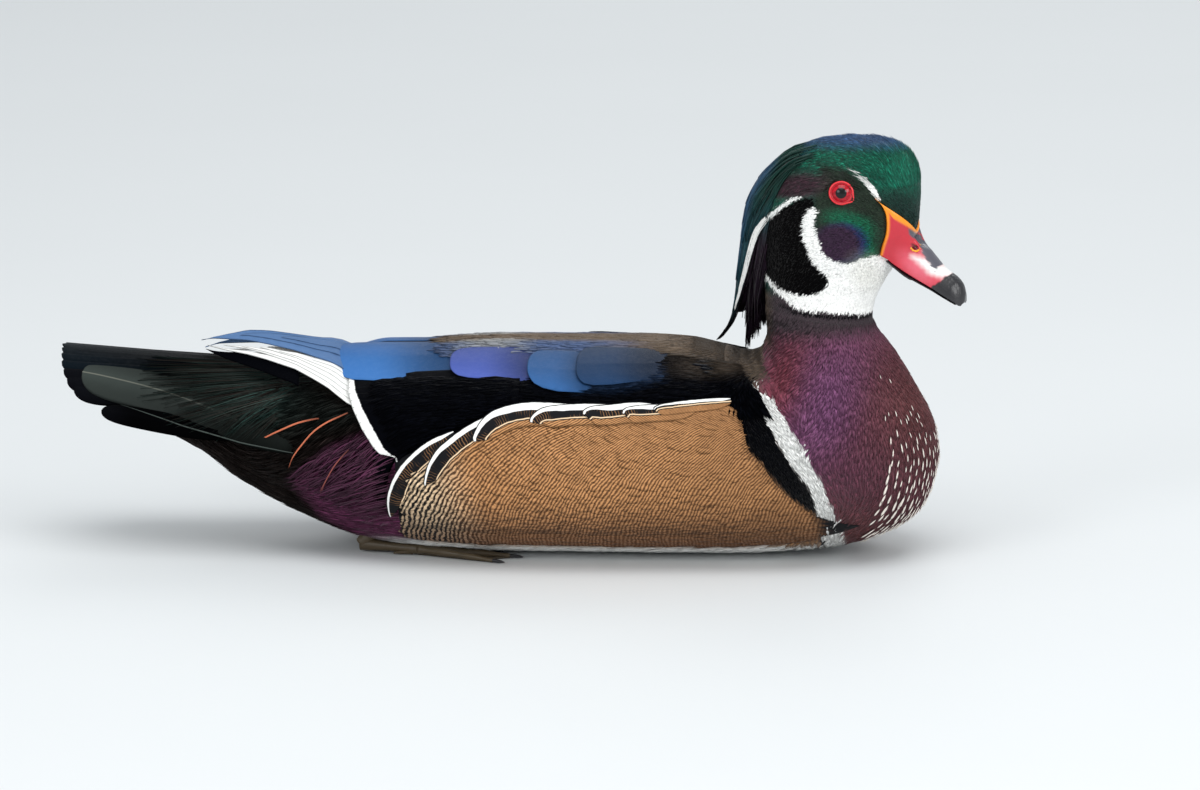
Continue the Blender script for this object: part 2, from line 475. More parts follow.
def plumage(flat, place, angle):
    """The markings of the whole bird at points of its unturned skin."""
    c = paints()
    xz = flat[:, [0, 2]]
    x, z = xz.T
    a = np.degrees(half_turn(angle))
    p = Painted(len(x), c.nape, 0.15)
    p.lay(1 - eased(x, -66, -48), c.rump, 0.2)
    p.lay((1 - eased(x, -120, -95)) * eased(z, 60, 78), c.rump_green, 0.4)
    p.lay(inside(xz, [(-105, 86), (-70, 70), (-110, 56), (-150, 78)], 6) * 0.4, c.rump_green, 0.35)
    body = eased(x, -58, -50) * (1 - eased(place, 9.9, 10.2))
    p.lay(body * eased(a, 14, 26) * (1 - eased(x, 100, 116)), c.velvet, 0.1)
    p.lay(eased(x, -46, -38) * body * eased(a, 60, 66), c.buff * 0.45, 0.05)
    p.lay(inside(xz, [(62, 92), (86, 90), (104, 87), (114, 85), (124, 66), (116, 58), (104, 60), (80, 70)], 2.5),
          c.velvet, 0.05)
    p.lay(inside(xz, MAROON, 4), c.maroon, 0.25)
    p.lay(eased(a, 138, 150) * eased(place, 5, 5.8) * (1 - eased(place, 9.8, 10.5)), c.white, 0)
    # neck and breast
    breast = inside(xz, BREAST, 3.2)
    p.lay(breast, c.breast, 0.22)
    p.lay(breast * spot(xz, (200, 72), (34, 60), 0, 0.9), c.breast_low, 0.15)
    p.lay(breast * spot(xz, (160, 8), (60, 34), 0, 0.9), c.breast_low, 0.15)
    p.lay(breast * spot(xz, (130, 88), (14, 24), -30, 0.95) * 0.8, c.breast_red, 0.25)
    p.lay(breast * spot(xz, (152, 78), (18, 38), -30, 0.95) * 0.9, c.breast_violet, 0.3)
    p.lay(eased(z, 102, 111) * (1 - eased(z, 126, 132)), c.neck_dark, 0.2)
    p.lay(eased(z, 96, 104) * (1 - eased(x, 121, 131)) * (1 - eased(z, 126, 132)), c.nape, 0.12)
    p.lay(inside(xz, BLACK_BAR, 1.0), c.velvet, 0.05)
    p.lay(stroke(xz, [(124, 48), (128, 38), (131, 24)], [1, 2.4, 0.6], 1.6) * 0.8, c.velvet, 0.05)
    p.lay(inside(xz, WHITE_BAR, 0.45), c.white, 0)
    # head
    head = eased(z, 121, 127) * eased(x, 100, 104)
    crown = head * eased(z, 119, 128)
    p.lay(crown, c.crown_deep, 0.5)
    p.lay(crown * spot(xz, (168, 193), (36, 16), 2, 0.8), c.crown_green, 0.6)
    p.lay(crown * spot(xz, (189, 186), (9, 16), 15, 0.9) * 0.8, c.crown_green, 0.6)
    p.lay(crown * spot(xz, (136, 178), (12, 22), -32, 0.9) * 0.55, c.crown_green, 0.55)
    p.lay(head * eased(z, 194.5, 202) * 0.8, c.crown_blue, 0.6)
    p.lay(head * stroke(xz, [(140, 197), (128, 190), (118, 172), (112, 150)], [4, 4, 4, 3], 4) * 0.4, c.crown_blue, 0.6)
    p.lay(crown * (1 - eased(x, 112, 124)) * (1 - eased(z, 150, 172)), c.crest_teal, 0.5)
    p.lay(head * spot(xz, (191, 170), (8, 14), 20, 0.7) * 0.8, c.crown_deep * 0.5, 0.4)
    face = head * inside(xz, [(149, 172), (152, 190), (166, 188.5), (176, 181), (181, 175), (186, 166), (184, 146),
                              (164, 142), (152, 148)], 2.5)
    p.lay(face, c.lore, 0.3)
    p.lay(head * spot(xz, (139, 178.2), (19, 7.4), 12, 0.55), c.brow_plum, 0.35)
    p.lay(head * spot(xz, (163, 176), (11.5, 9.5), 0, 0.45) * 0.75, c.lore, 0.25)
    p.lay(face * spot(xz, (166, 162), (13, 6.5), -14, 0.8), c.cheek_green, 0.5)
    p.lay(face * spot(xz, (174.5, 153), (7.5, 12), 6, 0.7), c.cheek_green, 0.5)
    p.lay(head * spot(xz, (164.2, 152.2), (12.6, 10.6), 0, 0.3), c.cheek_blue, 0.5)
    p.lay(head * spot(xz, (161.3, 151.8), (12.6, 10.8), 0, 0.35), c.cheek_violet, 0.4)
    p.lay(head * spot(xz, (181, 152), (3.8, 12), 8, 0.8) * 0.7, c.lore, 0.25)
    p.lay(inside(xz, EAR, 0.6), c.ear_black, 0.05)
    p.lay(inside(xz, THROAT, 0.4), c.white, 0)
    p.lay(head * spot(xz, (174, 136), (9, 12), 20, 0.9) * 0.3, np.array([0.62, 0.6, 0.5]), 0)
    p.lay(stroke(xz, [(175, 113.2), (164, 114.6), (150, 116), (140, 117.2), (133, 120)], 0.9, 0.9), c.velvet, 0.1)
    p.lay(stroke(xz, CREST_LINE, CREST_LINE_HALF, 0.35), c.white, 0)
    p.lay(stroke(xz, BROW, BROW_HALF, 0.3), c.white, 0)
    return p


# Meshes

def outward(points, faces):
    """The faces of a closed mesh, turned so that they point outwards."""
    a, b, c = (points[faces[:, i]] for i in range(3))
    return faces if np.sum(a * np.cross(b, c)) > 0 else faces[:, ::-1]


def finished(name, points, faces, material, values=(), patches=None, replaces=(), slot=None):
    """A piece from points in millimetres, with its values at each point, which rides on the one body."""
    mesh = bpy.data.meshes.new(name)
    mesh.vertices.add(len(points))
    mesh.vertices.foreach_set("co", (np.asarray(points, np.float64) * MM).ravel())
    faces = np.asarray(faces, np.int32)
    mesh.loops.add(faces.size)
    mesh.loops.foreach_set("vertex_index", faces.ravel())
    mesh.polygons.add(len(faces))
    mesh.polygons.foreach_set("loop_start", np.arange(0, faces.size, faces.shape[1], dtype=np.int32))
    for key, value in dict(values).items():
        store(mesh, key, value)
    if patches is not None:
        uv = mesh.uv_layers.new(name="OFBake")
        uv.data.foreach_set("uv", np.asarray(patches, np.float32).ravel())
    mesh.update()
    mesh.validate()
    mesh.shade_smooth()
    mesh.materials.append(material)
    piece = bpy.data.objects.new(name, mesh)
    bpy.context.scene.collection.objects.link(piece)
    settled(piece, replaces)
    return piece


def settled(piece, replaces=()):
    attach(piece, "root")
    if replaces:
        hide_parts(*replaces)


def store(mesh, key, value):
    value = np.asarray(value, np.float32)
    if value.ndim == 1:
        mesh.attributes.new(key, "FLOAT", "POINT").data.foreach_set("value", value)
    elif key in ("tint", "tint_b"):
        rgba = np.concatenate([value[:, :3], np.ones((len(value), 1), np.float32)], 1)
        mesh.attributes.new(key, "FLOAT_COLOR", "POINT").data.foreach_set("color", rgba.ravel())
    else:
        mesh.attributes.new(key, "FLOAT_VECTOR", "POINT").data.foreach_set("vector", value.ravel())


def tube_faces(n, k):
    """Faces of a closed tube of n rings of k points, with one more point at each end."""
    i, j = crossed(np.arange(n - 1), np.arange(k))
    a, b = i * k + j, i * k + (j + 1) % k
    end, after = np.arange(k), (np.arange(k) + 1) % k
    return np.concatenate([
        np.stack([a, b, b + k], 1), np.stack([a, b + k, a + k], 1),
        np.stack([after, end, np.full(k, n * k)], 1),
        np.stack([(n - 1) * k + end, (n - 1) * k + after, np.full(k, n * k + 1)], 1),
    ])


def hoop_faces(n, k):
    """Faces of a closed hoop of n rings of k points."""
    i, j = crossed(np.arange(n), np.arange(k))
    a, b, c, d = ((i + u) % n * k + (j + v) % k for u, v in ((0, 0), (0, 1), (1, 1), (1, 0)))
    return np.concatenate([np.stack([a, b, c], 1), np.stack([a, c, d], 1)])


def feather(spine, face, half, cols=5, thick=0.5, camber=0.15, ridge=0.0):
    """A closed vane along a spine, with how far each of its points lies across, along and inside its edges."""
    spine = np.asarray(spine, float)
    n = len(spine)
    along = unit(np.gradient(spine, axis=0))
    side = unit(np.cross(along, np.broadcast_to(face, (n, 3))))
    up = np.cross(side, along)
    half = np.asarray(half, float)
    if half.ndim == 1:
        half = np.stack([half, half], 1)
    u = np.linspace(-1, 1, cols)
    across = np.where(u < 0, u * half[:, :1], u * half[:, 1:])
    bow = -camber * across ** 2 / max(half.max(), 1e-6)
    lens = thick / 2 * np.sqrt(np.clip(1 - u ** 2, 0, 1)) * np.ones((n, 1))
    crest = ridge * np.exp(-(across / 0.9) ** 2) * np.linspace(1, 0.3, n)[:, None]
    flat = spine[:, None] + side[:, None] * across[..., None]
    top = flat + up[:, None] * (bow + lens + crest)[..., None]
    low = flat + up[:, None] * (bow - lens)[..., None]
    ring = np.concatenate([top, low[:, -2:0:-1]], 1)
    over = np.concatenate([across, across[:, -2:0:-1]], 1)
    k = ring.shape[1]
    reach = reach_along(spine)
    down = np.repeat(reach[:, None], k, 1)
    points = np.concatenate([ring.reshape(-1, 3), spine[:1], spine[-1:]])
    over = np.concatenate([over.ravel(), [0, 0]])
    down = np.concatenate([down.ravel(), [0, reach[-1]]])
    faces = tube_faces(n, k)
    spots, edges = np.stack([down, over], 1), []
    for rim in (np.stack([reach, -half[:, 0]], 1), np.stack([reach, half[:, 1]], 1)):
        edge = np.full(len(points), 1e3)
        for p, q in zip(rim[:-1], rim[1:]):
            d = q - p
            t = np.clip((spots - p) @ d / max(d @ d, 1e-9), 0, 1)
            edge = np.minimum(edge, np.linalg.norm(spots - p - t[:, None] * d, axis=1))
        edges.append(edge)
    return SimpleNamespace(points=points, faces=outward(points, faces), across=over, along=down,
                           edge=np.minimum(*edges), rim=edges[1],
                           length=reach[-1], half=half.max())


def shell(low, high):
    """A closed plate between two grids of points."""
    r, c = low.shape[:2]
    at = lambda i, j, layer: layer * r * c + i * c + j
    i, j = crossed(np.arange(r - 1), np.arange(c - 1))
    quads = [np.stack([at(i, j, 0), at(i + 1, j, 0), at(i + 1, j + 1, 0), at(i, j + 1, 0)], 1),
             np.stack([at(i, j, 1), at(i, j + 1, 1), at(i + 1, j + 1, 1), at(i + 1, j, 1)], 1)]
    i = np.arange(r - 1)
    j = np.arange(c - 1)
    quads += [np.stack([at(i, 0, 0), at(i, 0, 1), at(i + 1, 0, 1), at(i + 1, 0, 0)], 1),
              np.stack([at(i, c - 1, 0), at(i + 1, c - 1, 0), at(i + 1, c - 1, 1), at(i, c - 1, 1)], 1),
              np.stack([at(0, j, 0), at(0, j + 1, 0), at(0, j + 1, 1), at(0, j, 1)], 1),
              np.stack([at(r - 1, j, 0), at(r - 1, j, 1), at(r - 1, j + 1, 1), at(r - 1, j + 1, 0)], 1)]
    quads = np.concatenate(quads)
    faces = np.concatenate([quads[:, :3], quads[:, [0, 2, 3]]])
    points = np.concatenate([low.reshape(-1, 3), high.reshape(-1, 3)])
    return points, outward(points, faces)


def lofted(rings):
    """A closed body through rings of points."""
    rings = np.asarray(rings, float)
    n, k = rings.shape[:2]
    points = np.concatenate([rings.reshape(-1, 3), rings[:1].mean(1), rings[-1:].mean(1)])
    return points, outward(points, tube_faces(n, k))


class Gathered:
    """Feathers and plates that are joined into one piece, each with its values at every point."""

    def __init__(self):
        self.points, self.faces, self.values, self.count = [], [], {}, 0

    def add(self, points, faces, **values):
        n = len(points)
        self.points.append(points)
        self.faces.append(faces + self.count)
        for key, value in values.items():
            value = np.asarray(value, float)
            shape = (n,) + (value.shape[-1:] if key in ("tint", "tint_b") else ())
            self.values.setdefault(key, []).append(np.broadcast_to(value, shape))
        self.count += n

    def add_feather(self, made, **values):
        self.add(made.points, made.faces, across=made.across, along=made.along, edge=made.edge, **values)

    def made(self, name, material, mirror=False, patches=None, reshape=None, **more):
        points, faces = np.concatenate(self.points), np.concatenate(self.faces)
        if mirror:
            points, faces = points * [1, -1, 1], faces[:, ::-1]
        if reshape:
            points = reshape(points)
        values = {key: np.concatenate(value) for key, value in self.values.items()}
        return finished(name, points, faces, material, values, patches, **more)

    def made_pair(self, name, material, node=None, left_reshape=None, **more):
        """The right piece and its mirror image, each in the place of its own node."""
        for side, mirror, reshape in (("_right", False, None), ("_left", True, left_reshape)):
            replaced = (node + side,) if node else ()
            self.made(name + side, material, mirror=mirror, reshape=reshape, replaces=replaced, **more)


def towards_tip(count, power=1.6):
    """Steps from 0 to 1 that grow closer towards the tip."""
    return 1 - (1 - np.linspace(0, 1, count)) ** power


# Materials

def plug(tree, socket, value):
    """Links another node's output to a socket, or sets the socket's own value."""
    if isinstance(value, bpy.types.NodeSocket):
        tree.links.new(value, socket)
    else:
        socket.default_value = value


def node(tree, kind, inputs=None, **settings):
    made = tree.nodes.new(kind)
    for key, value in settings.items():
        setattr(made, key, value)
    for key, value in (inputs or {}).items():
        plug(tree, made.inputs[key], value)
    return made


def maths(tree, operation, a, b=0.0, c=0.0, clamp=False):
    made = node(tree, "ShaderNodeMath", {0: a, 1: b}, operation=operation, use_clamp=clamp)
    if operation == "MULTIPLY_ADD":
        plug(tree, made.inputs[2], c)
    return made.outputs[0]


def ramp(tree, value, low, high, start=0.0, end=1.0):
    """A value taken smoothly from one range into another."""
    inputs = {"Value": value, "From Min": low, "From Max": high, "To Min": start, "To Max": end}
    return node(tree, "ShaderNodeMapRange", inputs, interpolation_type="SMOOTHSTEP").outputs["Result"]


def mixed(tree, share, a, b, blend="MIX"):
    made = tree.nodes.new("ShaderNodeMix")
    made.data_type, made.blend_type = "RGBA", blend
    plug(tree, made.inputs[0], share)
    for index, value in ((6, a), (7, b)):
        plug(tree, made.inputs[index], value if isinstance(value, bpy.types.NodeSocket) else (*value[:3], 1))
    return made.outputs[2]


def attribute(tree, name, output="Fac"):
    return node(tree, "ShaderNodeAttribute", attribute_name=name, attribute_type="GEOMETRY").outputs[output]


def noise(tree, scale, detail=3.0, vector=None):
    if vector is None:
        vector = node(tree, "ShaderNodeTexCoord").outputs["Object"]
    inputs = {"Scale": scale, "Detail": detail, "Roughness": 0.55, "Vector": vector}
    return node(tree, "ShaderNodeTexNoise", inputs).outputs["Fac"]


def shader_group(name, inputs, outputs):
    """An empty shader group with the named sockets, and its ends."""
    tree = bpy.data.node_groups.new(name, "ShaderNodeTree")
    for socket, kind, value in inputs:
        made = tree.interface.new_socket(socket, in_out="INPUT", socket_type=kind)
        made.default_value = value
    for socket, kind in outputs:
        tree.interface.new_socket(socket, in_out="OUTPUT", socket_type=kind)
    return tree, tree.nodes.new("NodeGroupInput").outputs, tree.nodes.new("NodeGroupOutput").inputs


def barbs_group():
    """Fine barbs that slant from a feather's shaft to its edge: a shade and a height."""
    if "Feather barbs" in bpy.data.node_groups:
        return bpy.data.node_groups["Feather barbs"]
    tree, ins, outs = shader_group("Feather barbs", [
        ("Pitch", "NodeSocketFloat", 0.55), ("Slant", "NodeSocketFloat", 1.3), ("Strength", "NodeSocketFloat", 0.25)],
        [("Shade", "NodeSocketFloat"), ("Height", "NodeSocketFloat")])
    across, along = attribute(tree, "across"), attribute(tree, "along")
    out = maths(tree, "ABSOLUTE", across)
    slanted = maths(tree, "SUBTRACT", along, maths(tree, "MULTIPLY", out, ins["Slant"]))
    wander = maths(tree, "MULTIPLY", noise(tree, 260, 2), 1.6)
    phase = maths(tree, "DIVIDE", maths(tree, "ADD", slanted, wander), ins["Pitch"])
    wave = maths(tree, "SINE", maths(tree, "MULTIPLY", phase, 2 * math.pi))
    patchy = ramp(tree, noise(tree, 420, 2), 0.3, 0.75, 0.25, 1.0)
    lines = maths(tree, "MULTIPLY", wave, patchy)
    tree.links.new(maths(tree, "MULTIPLY_ADD", lines, maths(tree, "MULTIPLY", ins["Strength"], 0.5), 1.0),
                   outs["Shade"])
    tree.links.new(maths(tree, "MULTIPLY_ADD", lines, 0.5, 0.5), outs["Height"])
    return tree


def strands_group():
    """Soft unevenness of a coat of fine feathers: a shade and a height."""
    if "Coat strands" in bpy.data.node_groups:
        return bpy.data.node_groups["Coat strands"]
    tree, ins, outs = shader_group("Coat strands", [("Scale", "NodeSocketFloat", 900.0),
                                                    ("Strength", "NodeSocketFloat", 0.3)],
                                   [("Shade", "NodeSocketFloat"), ("Height", "NodeSocketFloat")])
    fine = noise(tree, ins["Scale"], 3)
    broad = noise(tree, 90, 2)
    both = maths(tree, "ADD", maths(tree, "MULTIPLY", fine, 0.7), maths(tree, "MULTIPLY", broad, 0.3))
    spread = maths(tree, "SUBTRACT", both, 0.5)
    tree.links.new(maths(tree, "MULTIPLY_ADD", spread, maths(tree, "MULTIPLY", ins["Strength"], 2.0), 1.0),
                   outs["Shade"])
    tree.links.new(fine, outs["Height"])
    return tree


def wrinkles_group():
    """Bare skin and horn: fine wrinkles and pores as a shade and a height."""
    if "Bare skin" in bpy.data.node_groups:
        return bpy.data.node_groups["Bare skin"]
    tree, ins, outs = shader_group("Bare skin", [("Scale", "NodeSocketFloat", 500.0)],
                                   [("Shade", "NodeSocketFloat"), ("Height", "NodeSocketFloat")])
    place = node(tree, "ShaderNodeTexCoord").outputs["Object"]
    cells = node(tree, "ShaderNodeTexVoronoi", {"Vector": place, "Scale": ins["Scale"]},
                 feature="DISTANCE_TO_EDGE").outputs["Distance"]
    cracks = ramp(tree, cells, 0.0, 0.16)
    soft = noise(tree, 220, 4, place)
    tree.links.new(maths(tree, "MULTIPLY_ADD", soft, 0.26, 0.87), outs["Shade"])
    tree.links.new(maths(tree, "ADD", maths(tree, "MULTIPLY", cracks, 0.35), soft), outs["Height"])
    return tree


def new_material(name, settings):
    """A material with one shader, with the shader's plain settings."""
    made = bpy.data.materials.new(name)
    made.use_nodes = True
    made.node_tree.nodes.clear()
    shader = made.node_tree.nodes.new("ShaderNodeBsdfPrincipled")
    end = made.node_tree.nodes.new("ShaderNodeOutputMaterial")
    made.node_tree.links.new(shader.outputs[0], end.inputs[0])
    for key, value in settings.items():
        shader.inputs[key].default_value = value
    return made, made.node_tree, shader


def group(tree, source, **values):
    made = tree.nodes.new("ShaderNodeGroup")
    made.node_tree = source
    for key, value in values.items():
        made.inputs[key].default_value = value
    return made.outputs


def shaded(tree, tint, shade):
    grey = node(tree, "ShaderNodeCombineColor", {0: shade, 1: shade, 2: shade}).outputs[0]
    return mixed(tree, 1.0, tint, grey, "MULTIPLY")


def feed(tree, shader, key, value):
    tree.links.new(value, shader.inputs[key])


def bumped(tree, shader, height, distance, strength=0.5):
    made = node(tree, "ShaderNodeBump", {"Height": height, "Distance": distance, "Strength": strength})
    tree.links.new(made.outputs[0], shader.inputs["Normal"])


def without_haze(tree, tint):
    """Velvet black feathers give back almost no light: 1 where the tint is nearly black."""
    return ramp(tree, maths(tree, "ADD", tint, 0.0), 0.004, 0.022, 0.95, 0.0)


def coat_material(name, dull=0.62, bright=0.34, sheen=0.15, strength=0.25, shine=0.35):
    """Fine body feathers: colour and gloss from the piece, broken up by strands."""
    made, tree, shader = new_material(name, {"Sheen Weight": sheen, "Sheen Roughness": 0.4,
                                             "Specular IOR Level": shine})
    strands = group(tree, strands_group(), Strength=strength)
    tint = attribute(tree, "tint", "Color")
    feed(tree, shader, "Base Color", shaded(tree, tint, strands["Shade"]))
    gloss = attribute(tree, "gloss")
    feed(tree, shader, "Metallic", maths(tree, "MAXIMUM", maths(tree, "MULTIPLY", gloss, 0.75, clamp=True),
                                         without_haze(tree, tint)))
    feed(tree, shader, "Roughness", ramp(tree, gloss, 0.05, 0.6, dull, bright))
    bumped(tree, shader, strands["Height"], 0.0002, 0.3)
    return made


def vane_material(name, pitch=0.6, strength=0.22, shine=0.2):
    """Large feathers: two colours parted along a line, with barbs and a shaft."""
    made, tree, shader = new_material(name, {"Specular IOR Level": shine})
    barbs = group(tree, barbs_group(), Pitch=pitch, Strength=strength)
    ragged = maths(tree, "MULTIPLY_ADD", maths(tree, "SUBTRACT", noise(tree, 700, 2), 0.5), 0.9,
                   attribute(tree, "zone"))
    second = ramp(tree, ragged, -0.25, 0.25)
    tint = mixed(tree, second, attribute(tree, "tint", "Color"), attribute(tree, "tint_b", "Color"))
    shaft = ramp(tree, maths(tree, "ABSOLUTE", attribute(tree, "across")), 0.2, 0.5, 1.0, 0.0)
    shaft = maths(tree, "MULTIPLY", shaft, attribute(tree, "shaft"))
    tint = mixed(tree, shaft, tint, bpy.context.scene.duck_colours.shaft)
    tint = shaded(tree, tint, barbs["Shade"])
    edge = ramp(tree, attribute(tree, "edge"), 0.0, 0.45, 0.55, 1.0)
    tint = shaded(tree, tint, edge)
    feed(tree, shader, "Base Color", tint)
    gloss = attribute(tree, "gloss")
    feed(tree, shader, "Metallic", maths(tree, "MAXIMUM", maths(tree, "MULTIPLY", gloss, 0.7, clamp=True),
                                         without_haze(tree, tint)))
    feed(tree, shader, "Roughness", ramp(tree, gloss, 0.05, 0.6, 0.7, 0.38))
    bumped(tree, shader, barbs["Height"], 0.00022, 0.4)
    return made


def flank_material(pitch, banded=True):
    """Buff flank feathers: fine wavy dark lines, and black and white bands along the upper edge."""
    name = "flank_bands" if banded else "flank_lines"
    made, tree, shader = new_material(name, {"Roughness": 0.7, "Specular IOR Level": 0.2})
    c = bpy.context.scene.duck_colours
    place = node(tree, "ShaderNodeTexCoord").outputs["Object"]
    parts = node(tree, "ShaderNodeSeparateXYZ", {0: place}).outputs
    x, z = maths(tree, "DIVIDE", parts[0], MM), maths(tree, "DIVIDE", parts[2], MM)
    # each line rises from the floor and bends forward, as the flank's rear edge does
    high = maths(tree, "POWER", maths(tree, "MULTIPLY", z, 1 / 82, clamp=True), 2.0)
    bend = maths(tree, "POWER", maths(tree, "SUBTRACT", 1.03, high, clamp=True), 0.5)
    start = maths(tree, "MULTIPLY_ADD", bend, 100, x)
    start = maths(tree, "SUBTRACT", start, 90)
    start = maths(tree, "MULTIPLY_ADD", maths(tree, "MINIMUM", start, 0.0), -0.22, start)
    rear = ramp(tree, maths(tree, "MULTIPLY_ADD", z, 0.3, x), -30, 4, 1, 0)
    low = ramp(tree, z, 2, 42, 1.0, 0)
    wander = maths(tree, "SUBTRACT", noise(tree, 300, 1.5, place), 0.5)
    drift = maths(tree, "SUBTRACT", noise(tree, 50, 1, place), 0.5)
    phase = maths(tree, "ADD", start, maths(tree, "ADD", maths(tree, "MULTIPLY", wander, 2.0),
                                            maths(tree, "MULTIPLY", drift, 5.0)))
    line = maths(tree, "SINE", maths(tree, "MULTIPLY", phase, 2 * math.pi / pitch))
    broken = ramp(tree, noise(tree, 800, 1.5, place), 0.22, 0.55, 0.7, 1.0)
    dark = maths(tree, "MULTIPLY", ramp(tree, line, -0.4, 0.3), broken)
    ground = mixed(tree, rear, c.buff, c.buff_pale)
    ground = mixed(tree, low, ground, (0.16, 0.085, 0.055))
    ground = shaded(tree, ground, ramp(tree, x, 30, 140, 1.0, 0.7))
    ground = shaded(tree, ground, ramp(tree, noise(tree, 150, 3, place), 0.25, 0.8, 0.8, 1.1))
    dark_tint = mixed(tree, rear, c.wave_dark, c.velvet)
    waved = mixed(tree, maths(tree, "MULTIPLY", dark, ramp(tree, rear, 0.0, 1.0, 0.9, 1.0)), ground, dark_tint)
    tint = waved
    if banded:
        edge, white_to, black_to = (attribute(tree, key) for key in ("rim", "white_to", "black_to"))
        uneven = maths(tree, "MULTIPLY_ADD", wander, 0.55, edge)
        shifted = maths(tree, "MULTIPLY_ADD", wander, 2.4, attribute(tree, "along"))
        slit = maths(tree, "SINE", maths(tree, "MULTIPLY", shifted, 2 * math.pi / 1.4))
        slits = maths(tree, "MULTIPLY", ramp(tree, slit, 0.6, 0.9),
                      maths(tree, "MULTIPLY", ramp(tree, noise(tree, 120, 1, place), 0.4, 0.6), 0.7))
        past = maths(tree, "SUBTRACT", uneven, black_to)
        band = mixed(tree, slits, c.velvet, tuple(0.5 * v for v in c.buff))
        band = mixed(tree, ramp(tree, past, -0.15, 0.15), band, c.buff_pale)
        band = mixed(tree, ramp(tree, past, 0.45, 0.7), band, c.velvet)
        band = mixed(tree, ramp(tree, past, 0.95, 1.2), band, waved)
        white = maths(tree, "MULTIPLY", ramp(tree, uneven, 0.4, 0.65),
                      ramp(tree, maths(tree, "SUBTRACT", uneven, white_to), -0.13, 0.13, 1.0, 0.0))
        band = mixed(tree, ramp(tree, uneven, 0.35, 0.6, 1.0, 0.0), band, c.velvet)
        band = mixed(tree, white, band, c.white)
        tint = mixed(tree, attribute(tree, "banded"), waved, band)
    feed(tree, shader, "Base Color", tint)
    bumped(tree, shader, noise(tree, 1200, 3, place), 0.0002, 0.3)
    return made


def horn_material(name, rough=0.3, coat=0.3, scale=650.0, bump=0.00012):
    """Bill, lids and feet: colour from the piece over fine wrinkles."""
    made, tree, shader = new_material(name, {"Coat Weight": coat, "Coat Roughness": 0.18})
    skin = group(tree, wrinkles_group(), Scale=scale)
    feed(tree, shader, "Base Color", shaded(tree, attribute(tree, "tint", "Color"), skin["Shade"]))
    bumped(tree, shader, skin["Height"], bump, 0.5)
    feed(tree, shader, "Roughness", ramp(tree, noise(tree, 300, 3), 0.3, 0.7, rough, rough + 0.14))
    return made


def nostril_oval(points):
    """How far points lie from the nostril's middle: 1 on its edge."""
    c, s = math.cos(NOSTRIL_TILT), math.sin(NOSTRIL_TILT)
    dx, dz = points[:, 0] - NOSTRIL[0], points[:, 2] - NOSTRIL[1] + NOSTRIL_LEFT_DROP * (points[:, 1] > 0)
    return np.hypot((dx * c + dz * s) / 1.75, (-dx * s + dz * c) / 1.2)


def eye_material():
    made, tree, shader = new_material("eye_glass", {
        "Roughness": 0.3, "Specular IOR Level": 0.15, "Coat Weight": 1.0, "Coat Roughness": 0.02, "Coat IOR": 1.33})
    c = bpy.context.scene.duck_colours
    away = attribute(tree, "off_axis")
    rays = noise(tree, 900, 3)
    uneven = maths(tree, "MULTIPLY_ADD", maths(tree, "SUBTRACT", rays, 0.5), 0.2, away)
    iris = mixed(tree, ramp(tree, rays, 0.3, 0.7), c.iris, tuple(0.5 * v for v in c.iris))
    iris = mixed(tree, ramp(tree, away, 4.0, 5.0), iris, tuple(0.6 * v for v in c.iris))
    tint = mixed(tree, ramp(tree, uneven, 2.6, 2.75), (0.001, 0.001, 0.0015), iris)
    feed(tree, shader, "Base Color", tint)
    return made


# The coat: tufts set on the skin by Geometry Nodes

# A step for each of the two axes that spreads any number of points evenly
EVEN_STEPS = (0.7548776662466927, 0.5698402909980532)
# How far a tuft's tip strays over the markings, in millimetres
STRAY = 0.35
FINE_LEAF = ([(0, 0, 0), (.42, .5, 0), (.42, -.5, 0), (.5, 0, .5), (1, 0, -.5)],
             [(0, 2, 3), (2, 4, 3), (4, 1, 3), (1, 0, 3), (0, 1, 4), (0, 4, 2)])
BROAD_LEAF = ([(0, 0, 0), (.35, .42, 0), (.35, 0, .5), (.35, -.42, 0), (.78, .44, -.3), (.78, 0, .3), (.78, -.44, -.3),
               (1, 0, -.6)],
              [(0, 3, 2), (0, 2, 1), (3, 6, 5), (3, 5, 2), (2, 5, 4), (2, 4, 1), (6, 7, 5), (5, 7, 4), (0, 1, 3),
               (1, 4, 6), (1, 6, 3), (4, 7, 6)])


def leaf_object(name, leaf):
    mesh = bpy.data.meshes.new(name)
    mesh.from_pydata([tuple(v) for v in leaf[0]], [], leaf[1])
    mesh.attributes.new("leaf_uv", "FLOAT_VECTOR", "POINT").data.foreach_set(
        "vector", np.array([(v[0] - 0.5, v[1] * 0.9, 0) for v in leaf[0]], np.float32).ravel())
    mesh.shade_smooth()
    made = bpy.data.objects.new(name, mesh)
    bpy.context.scene.collection.objects.link(made)
    return made


